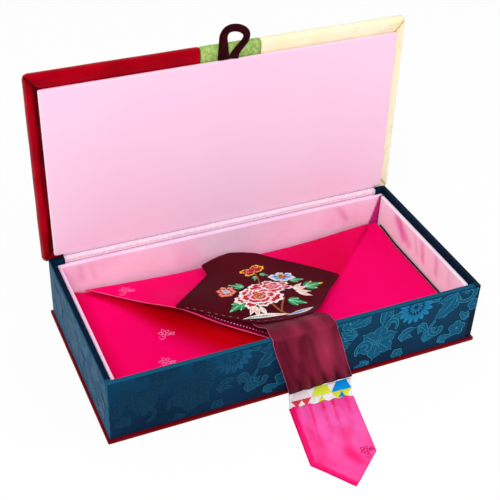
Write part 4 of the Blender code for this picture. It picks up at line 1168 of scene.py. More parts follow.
# %% Lid silks
SEAM_GAP = 0.00012
ROUND = (LID_HIGH - LID_LOW) / 2
LID_CORNER = 0.0042
CROWN, CROWN_WIDE, TOP_UNEVEN = 0.0012, 0.032, 0.0002
PINCH, PINCH_WIDE = 0.0005, 0.0006
SIDE_PULL, SIDE_UNEVEN = 0.0009, 0.0003


def lid_section(name, low_x, high_x, finish):
    low, high = Vector((-LID_HALF, LID_FRONT, LID_LOW)), Vector((LID_HALF, LID_BACK, LID_HIGH))
    xs = rows_between(low.x, high.x, 0.0126, 0.0006, 0.0022)
    for seam in SEAMS:
        xs += [seam + step for step in (-0.0015, -0.0008, -0.0004, 0.0004, 0.0008, 0.0015)]
    ys = rows_between(low.y, high.y, 0.0126, 0.0006, 0.0024)
    zs = [low.z + ROUND * share for share in (0.35, 0.7, 1.0, 1.3, 1.65)]
    work = wrapped_board(low, high, ROUND, (xs, ys, zs), LID_CORNER)
    for side, place in ((-1, low_x), (1, high_x)):
        if place is not None:
            cut_across(work, (place - side * SEAM_GAP, 0, 0), (side, 0, 0), clear_outer=True)
    middle = (LID_LOW + LID_HIGH) / 2
    paint = work.verts.layers.float.new("fold")
    for vert in work.verts:
        x, y, z = vert.co
        edge = min(edge_distance(x, y))
        seam = min(abs(x - place) for place in SEAMS)
        pinch = PINCH * math.exp(-(seam / PINCH_WIDE) ** 2)
        # The border's paint is painted shade.
        vert[paint] = border_shade(x, y, seam) if z <= middle else 0.0
        if z > middle:
            rise = CROWN * math.sin(min(edge / CROWN_WIDE, 1.0) * math.pi / 2)
            vert.co.z += rise + TOP_UNEVEN * ripple((x, y, 1), 0.03) - pinch
        else:
            vert.co.z -= border_height(x, y) - pinch * 0.6
        if edge < 0.0012:
            away = Vector((x, y - (LID_FRONT + LID_BACK) / 2, 0))
            along = clamp((y - LID_FRONT) / (LID_BACK - LID_FRONT))
            pull = SIDE_PULL * smoothstep((x - 0.12) / 0.01) * math.sin(math.pi * along)
            uneven = SIDE_UNEVEN * (0.5 + 0.5 * ripple((x, y, z), 0.012))
            vert.co -= away.normalized() * (pinch * 0.8 + uneven + pull)
    bmesh.ops.holes_fill(work, edges=[edge for edge in work.edges if edge.is_boundary], sides=0)
    bmesh.ops.recalc_face_normals(work, faces=work.faces)
    flat_map(work)
    bmesh.ops.transform(work, matrix=OPEN, verts=work.verts)
    return piece_from(name, work, finish)


for name, low_x, high_x, finish in (("red", None, SEAMS[0], RED_SILK), ("green", *SEAMS, GREEN_SILK),
                                    ("cream", SEAMS[1], None, CREAM_SILK)):
    section = lid_section("lid_" + name, low_x, high_x, finish)
    dress(section, name + "_silk", "lid_silk_" + name, body="lid")

# %% [markdown]
# The pink lining is a thin card in pale satin, glued inside the lid. It is nearly flat, with soft edges, and its
# left edge is painted lighter as a painted highlight.

# %% Lid lining
LINING_LOW, LINING_HIGH = Vector((-0.1256, -0.1225, -0.0002)), Vector((0.1256, -0.0003, 0.0022))
LINING_RADIUS, LINING_CORNER = 0.0009, 0.0012
LINING_UNEVEN = 0.00016
cuts = box_rows(LINING_LOW, LINING_HIGH, (0.003, 0.0005, 0.008), (0.003, 0.0005, 0.008))
work = wrapped_board(LINING_LOW, LINING_HIGH, LINING_RADIUS, (*cuts, (0.0004, 0.001, 0.0016)), LINING_CORNER)
paint = work.verts.layers.float.new("fold")
for vert in work.verts:
    # Painted highlight along the left edge.
    vert[paint] = 1.0 if vert.co.x < LINING_LOW.x + 0.0004 else 0.0
    if vert.co.z < 0.001:
        vert.co.z -= LINING_UNEVEN * ripple((vert.co.x, vert.co.y, 7), 0.05)
bmesh.ops.transform(work, matrix=OPEN, verts=work.verts)
dress(piece_from("lid_lining", work, PALE_PINK_SILK), "pale_pink_silk", "lining_silk", body="lid")

# %% [markdown]
# ## Closure loop
# A tube of dark silk is pressed flat and sewn to the lid as a loop. A curve through its route gives the tube, and
# scaling flattens it. A shallow groove runs along its middle, where the tube's seam lies.

# %% Closure loop
LOOP_WIDTH, LOOP_THICKNESS = 0.0054, 0.0024
LOOP_ROUTE = (
    (-0.0036, -0.0140), (-0.0035, -0.0085), (-0.0035, -0.0035), (-0.0036, 0.0015), (-0.0035, 0.0062),
    (-0.0016, 0.0097), (0.0021, 0.0112), (0.0070, 0.0105), (0.0111, 0.0081), (0.0127, 0.0048),
    (0.0113, 0.0011), (0.0080, -0.0025), (0.0050, -0.0063), (0.0036, -0.0100), (0.0034, -0.0140),
)
LOOP_WIDTHS = (1.58, 1.50, 1.36, 1.20, 1.08, 1.02, 1.0, 0.98, 0.96, 0.92, 0.92, 0.96, 1.08, 1.36, 1.58)
LOOP_LEVEL = 0.0010
GROOVE_DEPTH, GROOVE_WIDE = 0.35, 0.0006
CREASE_OUT, CREASE_REACH = 0.0008, 0.0012
knots = [(x, LID_FRONT - past, 0, share) for (x, past), share in zip(LOOP_ROUTE, LOOP_WIDTHS)]
knots = [knot for knot in smooth_line(knots, 3) if knot[1] < LINING_LOW.y - 0.0002]
route, widths = [knot[:3] for knot in knots], [knot[3] for knot in knots]
work = tube("loop_tube", route, LOOP_WIDTH / 2, resolution=7, widths=widths)
bmesh.ops.scale(work, vec=(1, 1, LOOP_THICKNESS / LOOP_WIDTH), verts=work.verts)
for vert in work.verts:
    distance, wide = min((math.dist(vert.co[:2], place[:2]), wide) for place, wide in zip(route, widths))
    vert.co.z *= (1 - GROOVE_DEPTH * math.exp(-(distance / GROOVE_WIDE) ** 2)) / wide
    vert.co.z += LOOP_LEVEL
bmesh.ops.recalc_face_normals(work, faces=work.faces)
bmesh.ops.transform(work, matrix=OPEN, verts=work.verts)
loop = piece_from("fabric_loop", work, CORD_SILK, sharp=70.0)
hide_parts("loop_leg_left", "loop_leg_right", "closure_loop")
reach = OPEN.to_3x3() @ Vector((0, -CREASE_REACH, 0))
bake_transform(loop)
print("loop of", round(sum(math.dist(a, b) for a, b in zip(route, route[1:])) * 1000), "mm")

# %% [markdown]
# ## Envelope
# The magenta envelope lies in the tray. Its pocket is a flat bag with a crown, and its flap puffs up over what is
# inside. The same few height functions carry the pocket, the flap, the dark tip, the sash and the panel, so each
# layer rests on the one below.

# %% Heights of the layers
HALF_X, HALF_Y, MIDDLE_Y = 0.1175, 0.0565, 0.0005
FRONT, BACK = -0.0560, 0.0570
GAP = 0.0003
POCKET_LEVEL, POCKET_CROWN = 0.01975, 0.0022
FLAP_LIFTS = ((-0.50, 0.10, 0.26, 0.44, 1.00), (0.02, -0.28, 0.34, 0.46, 0.65), (-0.95, 1.00, 0.35, 0.50, 0.25),
              (0.95, 1.00, 0.35, 0.50, 0.25))
FLAP_RISE = 0.0085
RISE_START, RISE_END = -0.02026, -0.06045
SASH_X, SASH_HALF, SASH_FADE = -0.001, 0.025, 0.023
SASH_RIM_Z = 0.04865
PANEL_CURL = 0.0020
BACK_BOW = 0.0045


def pocket_height(x, y):
    across, along = min(abs(x / HALF_X), 1), min(abs((y - MIDDLE_Y) / HALF_Y), 1)
    return POCKET_LEVEL + POCKET_CROWN * (1 - across ** 6) * (1 - along ** 6)


def flap_height(x, y):
    """Each lift is a soft hill: its place and its width in shares of the envelope, and its share of the rise."""
    level = pocket_height(x, y) + SHEET + GAP
    for sx, sy, wide, deep, rise in FLAP_LIFTS:
        level += FLAP_RISE * rise * math.exp(-((x / HALF_X - sx) / wide) ** 2
                                             - (((y - MIDDLE_Y) / HALF_Y - sy) / deep) ** 2)
    return level


def patch_height(x, y):
    return flap_height(x, y) + SHEET + GAP


def sash_height(x, y):
    """The sash lies on the flap and rises to the rim, and beside it the rise fades out."""
    lying = patch_height(x, y) + SHEET + GAP
    share = smoothstep((y - RISE_START) / (RISE_END - RISE_START))
    spread = 1 - smoothstep((abs(x - SASH_X) - SASH_HALF) / SASH_FADE)
    return lying + share * spread * (SASH_RIM_Z - lying)


def panel_height(x, y):
    along = (y - MIDDLE_Y) / HALF_Y
    return sash_height(x, y) + SHEET + GAP + PANEL_CURL * smoothstep((along - 0.6) / 0.4)


def bowed(x, y):
    """The envelope's back fold bows to the front in its middle."""
    along = (y - FRONT) / (BACK - FRONT)
    return y - BACK_BOW * (1 - (x / HALF_X) ** 2) * along ** 2


print("layers in the middle, mm:", [round(height(0, 0) * 1000, 1) for height in
                                    (pocket_height, flap_height, patch_height, sash_height, panel_height)])

# %% [markdown]
# The pocket and the sheet behind it are grids. The pocket's rows are dense near its edges, where the cloth turns
# down, and its two back corners are lifted. Below the flap's left edge and at its left end it is painted redder, as
# painted shade. A dark line down its right side, where the envelope touches the lining, is painted shadow.

# %% Pocket and back
BACK_LEVEL = 0.01835
EDGE_TURN, EDGE_DROP = 0.003, 0.0009
POCKET_UNEVEN, SHADOW_LINE_RADIUS = 0.00012, 0.0006


def to_liner(x):
    """The envelope lies against the right liner."""
    return x + 0.0030 * smoothstep((x - 0.05) / 0.06)


def envelope_plan(s, t):
    return -HALF_X + 2 * HALF_X * s, FRONT + (BACK - FRONT) * t


def pocket_place(s, t):
    x, y = envelope_plan(s, t)
    edge = min(HALF_X - abs(x), y - FRONT, BACK - y)
    drop = EDGE_DROP * (1 - math.sqrt(1 - (1 - min(edge / EDGE_TURN, 1)) ** 2))
    level = pocket_height(x, y) - drop + POCKET_UNEVEN * ripple((x, y, 0), 0.025)
    level += 0.0020 * smoothstep((x - 0.1060) / 0.007) * smoothstep((y - 0.025) / 0.025)
    level += 0.0015 * smoothstep((-0.1090 - x) / 0.006) * smoothstep((y - 0.030) / 0.020)
    return Vector((to_liner(x), bowed(x, y), level))


def even_edges(share):
    """Shares moved so that rows are dense near both edges."""
    return 0.5 - 0.5 * math.cos(math.pi * share) * (0.9 + 0.1 * abs(math.cos(math.pi * share)))


def pocket_grid(s, t):
    return pocket_place(even_edges(s), even_edges(t))


def back_place(s, t):
    x, y = envelope_plan(s, t)
    return Vector((to_liner(x), bowed(x, y), BACK_LEVEL))


def painted_shade_below_flap(x, y):
    """Painted shade: redder in a wedge below the flap's left edge, which widens to the flap's tip, and at the left end.
    """
    from_corner = (x + 0.1112, y - 0.056)
    angle = math.degrees(math.atan2(-from_corner[1], from_corner[0])) - 47.3
    near = smoothstep((math.hypot(*from_corner) - 0.010) / 0.06)
    wedge = (1 - smoothstep((angle - 2.5) / (6 + 9 * near))) * (0.8 + 0.18 * near) if angle > -12 else 0.0
    return wedge + 0.35 * (1 - smoothstep((x + HALF_X) / 0.012))


# The pocket's paint is painted shade below the flap.
pocket = cloth("envelope_pocket_satin", 90, 60, (0.235, 0.113), pocket_grid, MAGENTA_SILK,
               paint=lambda s, t: painted_shade_below_flap(*pocket_grid(s, t)[:2]))
dress(pocket, "magenta_silk", "envelope_pocket")
# A dark line, painted shadow, lies in the gap between the envelope and the right liner.
at_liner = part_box("liner_silk_right")[0].x - 0.0012
line = [Vector((at_liner, *pocket_place(0.985, 0.03 + 0.92 * step / 40).yz)) for step in range(41)]
piping("pocket_side_shadow_line", line, SHADOW_LINE_RADIUS, DARK_SILK, "magenta_silk")
back_sheet = cloth("envelope_back_satin", 40, 20, (0.235, 0.113), back_place, MAGENTA_SILK)
dress(back_sheet, "magenta_silk", "envelope_back")

# %% [markdown]
# The flap is a triangle, folded over at the back. Its grid narrows to the tip. Its right part and all but its back
# are painted darker, as painted shade. A red lining lies under it, whose red also stands for the painted shade below
# the raised left edge, and a paler piping runs along both free edges.

# %% Flap
FLAP_HALF, FLAP_BACK, FLAP_TIP = 0.1163, 0.0558, -0.0500
FLAP_UNEVEN, FLAP_PIPING = 0.00015, 0.00042
LINING_CLOTH, LINING_BELOW = 0.0003, -0.00055


def flap_plan(s, t):
    half = FLAP_HALF * (1 - t)
    left = -half + 0.0080 * (1 - smoothstep((t - 0.16) / 0.32))
    right = half - 0.003 * (1 - smoothstep((t - 0.2) / 0.2))
    return left + (right - left) * s, FLAP_BACK + (FLAP_TIP - FLAP_BACK) * t


def flap_place(s, t, lift=0.0):
    x, y = flap_plan(s, t)
    fold = 0.0016 * max(0.0, 1 - t / 0.02) ** 2
    level = flap_height(x, y) + lift - fold + FLAP_UNEVEN * ripple((x, y, 5), 0.03)
    return Vector((x, bowed(x, y) + fold * 0.6, level))


def flap_shade(s, t):
    """Painted shade: the flap's right part is darker as half shade, and all but its back is a little darker too."""
    x = flap_plan(s, t)[0]
    half_shade = 0.42 * smoothstep((x - 0.005) / 0.05) * (1 - 0.5 * smoothstep((x - 0.07) / 0.03))
    return half_shade + 0.12 * smoothstep(t * 2)


# The flap's paint is painted shade.
flap = cloth("envelope_flap_satin", 80, 70, (0.2326, 0.115), flap_place, MAGENTA_SILK, paint=flap_shade)
dress(flap, "magenta_silk", "envelope_flap")
# A red sheet under the flap: a lining, whose red also stands for painted shade below the raised edge.
lining_sheet = cloth("flap_lining", 60, 50, (0.2326, 0.115), lambda s, t: flap_place(
    0.004 + 0.992 * s, 0.03 + 0.96 * t, LINING_BELOW), LINING_RED_SILK, LINING_CLOTH)
dress(lining_sheet, "magenta_silk")
for name, s, finish in (("left", 0.0, PIPING_PINK), ("right", 1.0, MAGENTA_SILK)):
    line = [flap_place(s, 0.005 + 0.985 * step / 60) for step in range(61)]
    piping("flap_piping_" + name, line, FLAP_PIPING, finish, "magenta_silk")

# %% [markdown]
# Small blossoms are woven tone on tone into the envelope and the tail, here as thin lines: five looped petals, a
# curl and two leaves.

# %% Woven blossoms
WOVEN_PINK = colour("FF8CCC")
WOVEN_LINE, WOVEN_LIFT = 0.00034, 0.00006
BLOSSOM_SIZE, BLOSSOM_TURN = 0.0098, 0.4


def loop_line(work, place, angle, length, width, thread, line):
    """The outline of a petal as a line."""
    points = []
    for share in (0.0, 0.3, 0.7, 1.0, 0.7, 0.3, 0.0):
        side = 1 if len(points) < 3 else -1
        across = side * width / 2 * math.sin(math.pi * min(share + 0.1, 1)) if 0 < share < 1 else 0.0
        points.append((place[0] + length * share * math.cos(angle) - across * math.sin(angle),
                       place[1] + length * share * math.sin(angle) + across * math.cos(angle)))
    stem(work, points, line, thread)


def woven_blossom(name, place, size, turned, thread, surface, slot, line=WOVEN_LINE):
    """One blossom of that size, turned, moved to its place and laid on a surface."""
    part = bmesh.new()
    for index in range(5):
        angle = 2 * math.pi * index / 5
        root = (0.1 * size * math.cos(angle), 0.1 * size * math.sin(angle))
        loop_line(part, root, angle, size * 0.32, size * 0.24, thread, line)
    stem(part, [(-size * 0.1, -size * 0.2), (-size * 0.35, -size * 0.45), (-size * 0.6, -size * 0.30),
                (-size * 0.5, -size * 0.1)], line, thread)
    for angle in (-1.1, -0.5):
        loop_line(part, (size * 0.2, -size * 0.25), angle, size * 0.4, size * 0.18, thread, line)
    work = bmesh.new()
    append(work, part, turned, place=(*place, 0))
    lay_on(name, work, STITCH, slot, surface)


def on_layer(height):
    """The surface of a layer of the envelope, for flat shapes."""
    return lambda x, y, h: (x, bowed(x, y), height(x, y) + SHEET / 2 + WOVEN_LIFT + h)


for name, place, height in (("flap_blossom", (-0.0840, 0.0453), flap_height),
                            ("pocket_blossom", (-0.0734, -0.0056), pocket_height),
                            ("pocket_blossom_low", (-0.0822, -0.0318), pocket_height)):
    woven_blossom(name, place, BLOSSOM_SIZE, BLOSSOM_TURN, WOVEN_PINK, on_layer(height), "magenta_silk")

# %% [markdown]
# The dark second layer on the flap's tip is a small triangle with a dotted pink seam. Its corners are shares of the
# envelope's half sizes.

# %% Tip patch
TIP_CORNERS = ((0.0, -0.889), (0.502, 0.06), (-0.502, 0.06))
TIP_ROWS = 36
PINK_THREAD, PALE_THREAD = colour("FFA8C8"), colour("C88C9C")
DOT_LENGTH, DOT_WIDTH, DOT_LIFT = 0.0010, 0.0007, 0.0002
SEAM_INSET = 0.022


def share_place(x_share, y_share):
    return HALF_X * x_share, MIDDLE_Y + HALF_Y * y_share


def tip_place(s, t):
    low = share_place(*TIP_CORNERS[0])
    side = between(share_place(*TIP_CORNERS[2]), share_place(*TIP_CORNERS[1]), s)
    x, y = between(side, low, t)
    return Vector((x, bowed(x, y), patch_height(x, y)))


# The tip patch gets the lighter copy of the dark maroon silk, as painted light.
tip = cloth("tip_patch_silk", 40, TIP_ROWS, (0.1180, 0.0536), tip_place, TIP_SILK)
dress(tip, "dark_maroon_silk", "tip_patch")
work = bmesh.new()
for s, inset in ((0.0, SEAM_INSET), (1.0, -SEAM_INSET)):
    for step in range(4, 34):
        t = step / TIP_ROWS
        along_edge = s + inset * (1 / (1 - t * 0.98))
        here, ahead = tip_place(along_edge, t), tip_place(along_edge, t + 0.005)
        petal(work, (here.x, here.y), math.atan2(ahead.y - here.y, ahead.x - here.x), DOT_LENGTH, DOT_WIDTH,
              PINK_THREAD, DOT_LIFT, segments=8)
lay_on("tip_stitches", work, STITCH, "dark_maroon_silk", lambda x, y, h: (x, y, patch_height(x, y) + SHEET / 2 + h))

# %% [markdown]
# ## Embroidered panel
# The panel hangs between two smooth outlines. It rests on the sash in front and curls up at the back. A hem runs
# round it, and single stitches hold its front edge.

# %% Panel
PANEL_LOWER = ((-0.526, 0.03), (-0.450, -0.071), (-0.363, -0.184), (-0.268, -0.316), (-0.203, -0.413),
               (-0.128, -0.569), (-0.03, -0.69), (0.08, -0.73), (0.16, -0.66), (0.22, -0.55), (0.30, -0.39),
               (0.38, -0.21), (0.513, 0.04))
PANEL_UPPER = ((-0.522, 0.048), (-0.459, 0.143), (-0.380, 0.305), (-0.296, 0.488), (-0.221, 0.629), (-0.217, 0.736),
               (-0.223, 0.825), (-0.141, 0.890), (-0.074, 0.930), (-0.017, 0.952), (0.058, 0.895), (0.135, 0.817),
               (0.211, 0.669), (0.296, 0.509), (0.410, 0.279), (0.510, 0.065))
PANEL_COLUMNS, PANEL_ROWS = 96, 48
PANEL_UNEVEN, PANEL_HEM = 0.00012, 0.00042
HEM_STEPS, STITCH_STEPS = 90, 92
STITCH_WIDTH, STITCH_LIFT, ON_PANEL = 0.00028, 0.00005, 0.0001
lower = even_line([share_place(*place) for place in PANEL_LOWER], PANEL_COLUMNS)
upper = even_line([share_place(*place) for place in PANEL_UPPER], PANEL_COLUMNS)


def panel_place(s, t):
    index = min(int(s * PANEL_COLUMNS), PANEL_COLUMNS - 1)
    rest = s * PANEL_COLUMNS - index
    x, y = between(between(lower[index], lower[index + 1], rest), between(upper[index], upper[index + 1], rest), t)
    return Vector((x, y, panel_height(x, y) + PANEL_UNEVEN * ripple((x, y, 9), 0.02)))


def on_panel(x, y, h):
    return x, y, panel_height(x, y) + SHEET / 2 + ON_PANEL + h


panel = cloth("embroidered_panel_silk", PANEL_COLUMNS, PANEL_ROWS, (0.121, 0.088), panel_place, DARK_SILK)
dress(panel, "dark_maroon_silk", "embroidered_panel")
shares = [step / HEM_STEPS for step in range(HEM_STEPS + 1)]
rim = [panel_place(share, 0.0) for share in shares] + [panel_place(1 - share, 1.0) for share in shares]
piping("panel_hem", rim, PANEL_HEM, DARK_SILK, "dark_maroon_silk", cyclic=True)
work = bmesh.new()
for step in range(4, 44, 3):
    here, ahead = panel_place(step / STITCH_STEPS, 0.04), panel_place((step + 1.2) / STITCH_STEPS, 0.04)
    petal(work, (here.x, here.y), math.atan2(ahead.y - here.y, ahead.x - here.x), math.dist(here[:2], ahead[:2]),
          STITCH_WIDTH, PALE_THREAD, STITCH_LIFT, segments=8)
lay_on("panel_stitches", work, STITCH, "dark_maroon_silk", on_panel)

# %% [markdown]
# The embroidery is a spray of peonies in satin stitch, drawn for this model. A bloom is rings of lobed petals, each
# in up to four threads, from its edge to its heart. Leaves, buds and stems go round it. Levels a few hundredths of a
# millimetre apart keep each shape above the shapes that it covers.

# %% Embroidery helpers
WHITE, ROSE, RED, CRIMSON = (colour(code) for code in ("FFFAF6", "F698A8", "CC0C1E", "90081A"))
GREEN, MINT, BLUE, SKY = (colour(code) for code in ("1C9858", "90E0B4", "3C8CD8", "A8DCF4"))
YELLOW, ORANGE, BROWN, PEACH = (colour(code) for code in ("FCDC30", "F08038", "A0582C", "F8C4A4"))
THREAD_SHARES = (1.0, 0.79, 0.50, 0.30)
THREAD_STEP = 0.00003
FIRST_RING, NEXT_PETAL, NEXT_RING = 0.00005, 0.000008, 0.00004
FIRST_LEAF, NEXT_LEAF = 0.00004, 0.00001


def stitched_petal(work, place, angle, length, width, threads, level, lobes, **shape):
    """Nested shapes from the edge thread to the heart thread."""
    for index, (thread, share) in enumerate(zip(threads, THREAD_SHARES)):
        petal(work, place, angle, length * share, width * share, thread, level + THREAD_STEP * index, lobes=lobes,
              segments=42, **shape)


def peony(work, radius, rings, turned, lobes):
    """A bloom of rings of petals, the outer ones below. A ring is a number, a start, a reach and its threads."""
    level = FIRST_RING
    for count, start, reach, threads in rings:
        for index in range(count):
            angle = 2 * math.pi * index / count + turned + start * 3
            wide = 0.95 + 0.22 * math.sin(5 * index + 3 * count)
            long = 1.0 + 0.14 * math.sin(4 * index + count)
            root = (radius * start * math.cos(angle), radius * start * math.sin(angle))
            stitched_petal(work, root, angle + 0.25 * math.sin(7 * index + count), radius * reach * long,
                           radius * reach * 1.12 * wide, threads, level, lobes, wave=0.12)
            level += NEXT_PETAL
        level += NEXT_RING
    for index in range(7):
        angle = 2 * math.pi * index / 7
        root = (radius * 0.05 * math.cos(angle), radius * 0.05 * math.sin(angle))
        petal(work, root, angle, radius * 0.10, radius * 0.05, YELLOW if index % 2 else ORANGE, level, segments=8)


def leaf(work, place, angle, length, threads):
    """A serrated leaf: a broad shape, two side lobes, a pale vein and a tip in the third thread."""
    level = FIRST_LEAF
    for swing, size in ((0.50, 0.62), (-0.50, 0.62), (0.0, 1.0)):
        turn = angle + swing
        petal(work, place, turn, length * size, length * 0.34, threads[0], level, point=0.8, segments=20, lobes=9,
              wave=0.06)
        petal(work, place, turn, length * size * 0.8, length * 0.09, threads[1], level + 0.00003, point=0.8,
              segments=10)
        end = (place[0] + length * size * 0.74 * math.cos(turn), place[1] + length * size * 0.74 * math.sin(turn))
        petal(work, end, turn, length * size * 0.26, length * 0.08, threads[2], level + 0.00004, segments=8)
        level += NEXT_LEAF


def in_mm(place):
    return place[0] * mm, place[1] * mm


print("a ring of", len(THREAD_SHARES), "threads is the most that a petal has")

# %% [markdown]
# The lists give every leaf, stem, long leaf, bloom and bud with its place in millimetres from the panel's middle.
# The order is from the lowest shape to the highest.

# %% Embroidery
LEAF_GREENS = (GREEN, MINT, MINT)
LEAVES = (((-9, 12), 2.6, 11, LEAF_GREENS), ((30, -3), 0.05, 15, (GREEN, MINT, YELLOW)),
          ((12, -15), -0.5, 13, LEAF_GREENS), ((-17, -6), 3.6, 14, LEAF_GREENS), ((4, 22), -2.0, 6, LEAF_GREENS),
          ((8, 23), -0.6, 6, LEAF_GREENS), ((24, 8), -0.2, 10, LEAF_GREENS))
STEMS = ((((-1, -10), (1, -19), (4, -28)), 1.8, 0.00006), (((11, -11), (6, -18), (3, -24)), 1.5, 0.00007),
         (((5, 25), (5, 19), (3, 12)), 1.2, 0.00006))
LONG_LEAVES = (((-24, -21), (7, -31), 4.6, 0.05, (GREEN, ORANGE)), ((3, -31.5), (25, -27), 5.0, -0.05, (BLUE, SKY)))
BLOOMS = (
    ((9.0, 5.0), -0.3, 11.0, (1.30, 0.72), 7, ((6, 0.34, 0.66, (WHITE, RED, ROSE, WHITE)),
                                               (4, 0.08, 0.54, (WHITE, RED, ROSE)))),
    ((-4.5, -3.0), 0.1, 15.0, (1.12, 0.92), 7, ((7, 0.34, 0.66, (WHITE, RED, ROSE, WHITE)),
                                                (6, 0.18, 0.54, (WHITE, RED, ROSE, WHITE)),
                                                (4, 0.06, 0.40, (WHITE, RED, ROSE)),
                                                (3, 0.00, 0.22, (ORANGE, CRIMSON)))),
    ((5.0, 29.0), 0.3, 6.8, (1.50, 0.75), 7, ((4, 0.22, 0.78, (YELLOW, RED, CRIMSON, RED)),
                                              (3, 0.02, 0.46, (ROSE, RED, CRIMSON)))),
    ((21.0, 14.0), -0.2, 7.2, (1.25, 0.85), 5, ((6, 0.28, 0.70, (WHITE, SKY, BLUE)), (3, 0.05, 0.40, (YELLOW, RED)))),
    ((-23.0, 10.0), 0.4, 6.6, (1.1, 1.0), 5, ((6, 0.30, 0.70, (ORANGE, ROSE, RED)), (4, 0.05, 0.42, (YELLOW, SKY)))),
)
BUDS = (((21, -4), 0.55, 10), ((21, -5), 0.15, 11), ((21, -7), -0.25, 11), ((22, -9), -0.6, 10),
        ((-12, -13), -2.3, 9), ((-11, -14), -1.85, 10), ((-9, -15), -1.4, 9))
LONG_LEVEL, INLAY_LEVEL, BLOOM_LEVEL, BUD_LEVEL = 0.00005, 0.00018, 0.00004, 0.00030
BUD_WIDTH = 3.6 * mm
work = bmesh.new()
part = bmesh.new()
for place, angle, length, threads in LEAVES:
    leaf(part, in_mm(place), angle, length * mm, threads)
for points, width, level in STEMS:
    stem(part, [in_mm(place) for place in points], width * mm, BROWN, level)
append(work, part)
part = bmesh.new()
for start, end, width, bend, (middle_thread, vein_thread) in LONG_LEAVES:
    angle = math.atan2(end[1] - start[1], end[0] - start[0])
    span = math.dist(start, end) * mm
    root = in_mm(start)
    settings = dict(point=0.85, root=0.85, bend=bend)
    petal(part, root, angle, span, width * mm, WHITE, LONG_LEVEL, segments=28, **settings)
    inlay_root = (root[0] + 2 * mm * math.cos(angle), root[1] + 2 * mm * math.sin(angle))
    for thread, reach, wide in ((middle_thread, 0.55, 0.36), (vein_thread, 0.88, 0.20)):
        petal(part, inlay_root, angle, span * reach, width * wide * mm, thread,
              INLAY_LEVEL + THREAD_STEP * (1 - reach), segments=24, **settings)
append(work, part)
for place, turned, radius, stretched, lobes, rings in BLOOMS:
    part = bmesh.new()
    peony(part, radius * mm, rings, turned, lobes)
    append(work, part, turned, stretched, (*in_mm(place), BLOOM_LEVEL))
part = bmesh.new()
for place, angle, length in BUDS:
    stitched_petal(part, in_mm(place), angle, length * mm, BUD_WIDTH, (WHITE, PEACH, WHITE), BUD_LEVEL, 3,
                   point=0.85, root=0.5)
append(work, part)
lay_on("peony_embroidery", work, STITCH, "dark_maroon_silk", on_panel)

# %% [markdown]
# ## Sash
# The maroon sash comes from under the panel, bends over the rim, hangs down the front and ends above the table.
# The route is a list of rows, each with its depth, its height and the sash's middle. Soft upright waves run down
# the hanging part and gather into pleats at the foot. The satin's sheen is painted as highlights, and its pleats
# get painted shade.

# %% Sash
SASH_WIDTH = 0.0455
LYING_X, RIM_X, FOOT_X = -0.0010, -0.0023, 0.0117
FALL_Y, FOOT_Y, FOOT_LIFT, BEND = -0.0664, -0.0687, 0.0019, 0.0023
SASH_START = -0.00784
ROWS_IN, ROWS_BEND, ROWS_DOWN = 26, 12, 30
SASH_PIPING_RADIUS, FOOT_RADIUS = 0.00032, 0.0004
route = []
for step in range(ROWS_IN + 1):
    share = step / ROWS_IN
    route.append((SASH_START + share * (RISE_END - SASH_START), None, LYING_X + share * (RIM_X - LYING_X)))
for step in range(ROWS_BEND + 1):
    angle = math.pi / 2 * step / ROWS_BEND
    route.append((FALL_Y + BEND * (1 - math.sin(angle)), SASH_RIM_Z - BEND * (1 - math.cos(angle)), RIM_X))
for step in range(1, ROWS_DOWN + 1):
    share = step / ROWS_DOWN
    route.append((FALL_Y + (FOOT_Y - FALL_Y) * smoothstep(share),
                  SASH_RIM_Z - BEND - (SASH_RIM_Z - BEND - FOOT_LIFT) * share, RIM_X + share * (FOOT_X - RIM_X)))
LAST_ROW = len(route) - 1


def sash_place(s, t):
    """A row without a height follows the envelope. Below the rim, down is the share of the way to the foot."""
    y, z, middle = route[round(t * LAST_ROW)]
    x = middle + SASH_WIDTH * (s - 0.5)
    if z is None:
        x += (0.0050 - 0.0034 * smoothstep((-0.045 - y) / 0.016)) * (1 - s)
        return Vector((x, y, sash_height(x, y) + 0.00015 * ripple((x, y, 2), 0.012)))
    down = 1 - (z - FOOT_LIFT) / (SASH_RIM_Z - FOOT_LIFT)
    hanging = smoothstep(down * 2.5) * (1 - smoothstep((down - 0.8) / 0.2))
    gathered = smoothstep((down - 0.66) / 0.2) * (1 - 0.85 * smoothstep((down - 0.90) / 0.1))
    waves = 0.00055 * hanging * math.sin(3.1 * math.pi * s + 0.4) ** 2
    waves += 0.0014 * gathered * math.sin(5 * math.pi * s + 0.3) ** 2
    uneven = 0.00035 * (1 + ripple((x * 2, z, 4), 0.009)) * smoothstep(down * 4)
    sway = 0.0006 * math.sin(math.pi * 2 * down) * (s - 0.5) + 0.0016 * (1 - s) * (1 - down)
    return Vector((x + sway, y - waves - uneven, z))


def painted_sash_sheen(s, t):
    """Painted highlights in upright blotches, more to the right, and at the bend; painted shade in the foot's pleats.
    """
    down = smoothstep((t - 0.50) / 0.25)
    blotch = max(0.0, ripple((s, t * 0.6, 3), 0.22)) + 0.3 * max(0.0, ripple((s, t * 0.35, 8), 0.07))
    bend = 0.24 * math.exp(-((t - 0.43) / 0.09) ** 2) * (0.6 + 0.9 * ripple((s, 0.2, 5), 0.15))
    pleat = smoothstep((t - 0.84) / 0.12) * (1 - math.sin(5 * math.pi * s + 0.3) ** 2) ** 2
    return (0.10 + (0.02 + 0.24 * s) * down + 0.6 * blotch + bend) * (1 - 0.9 * pleat)


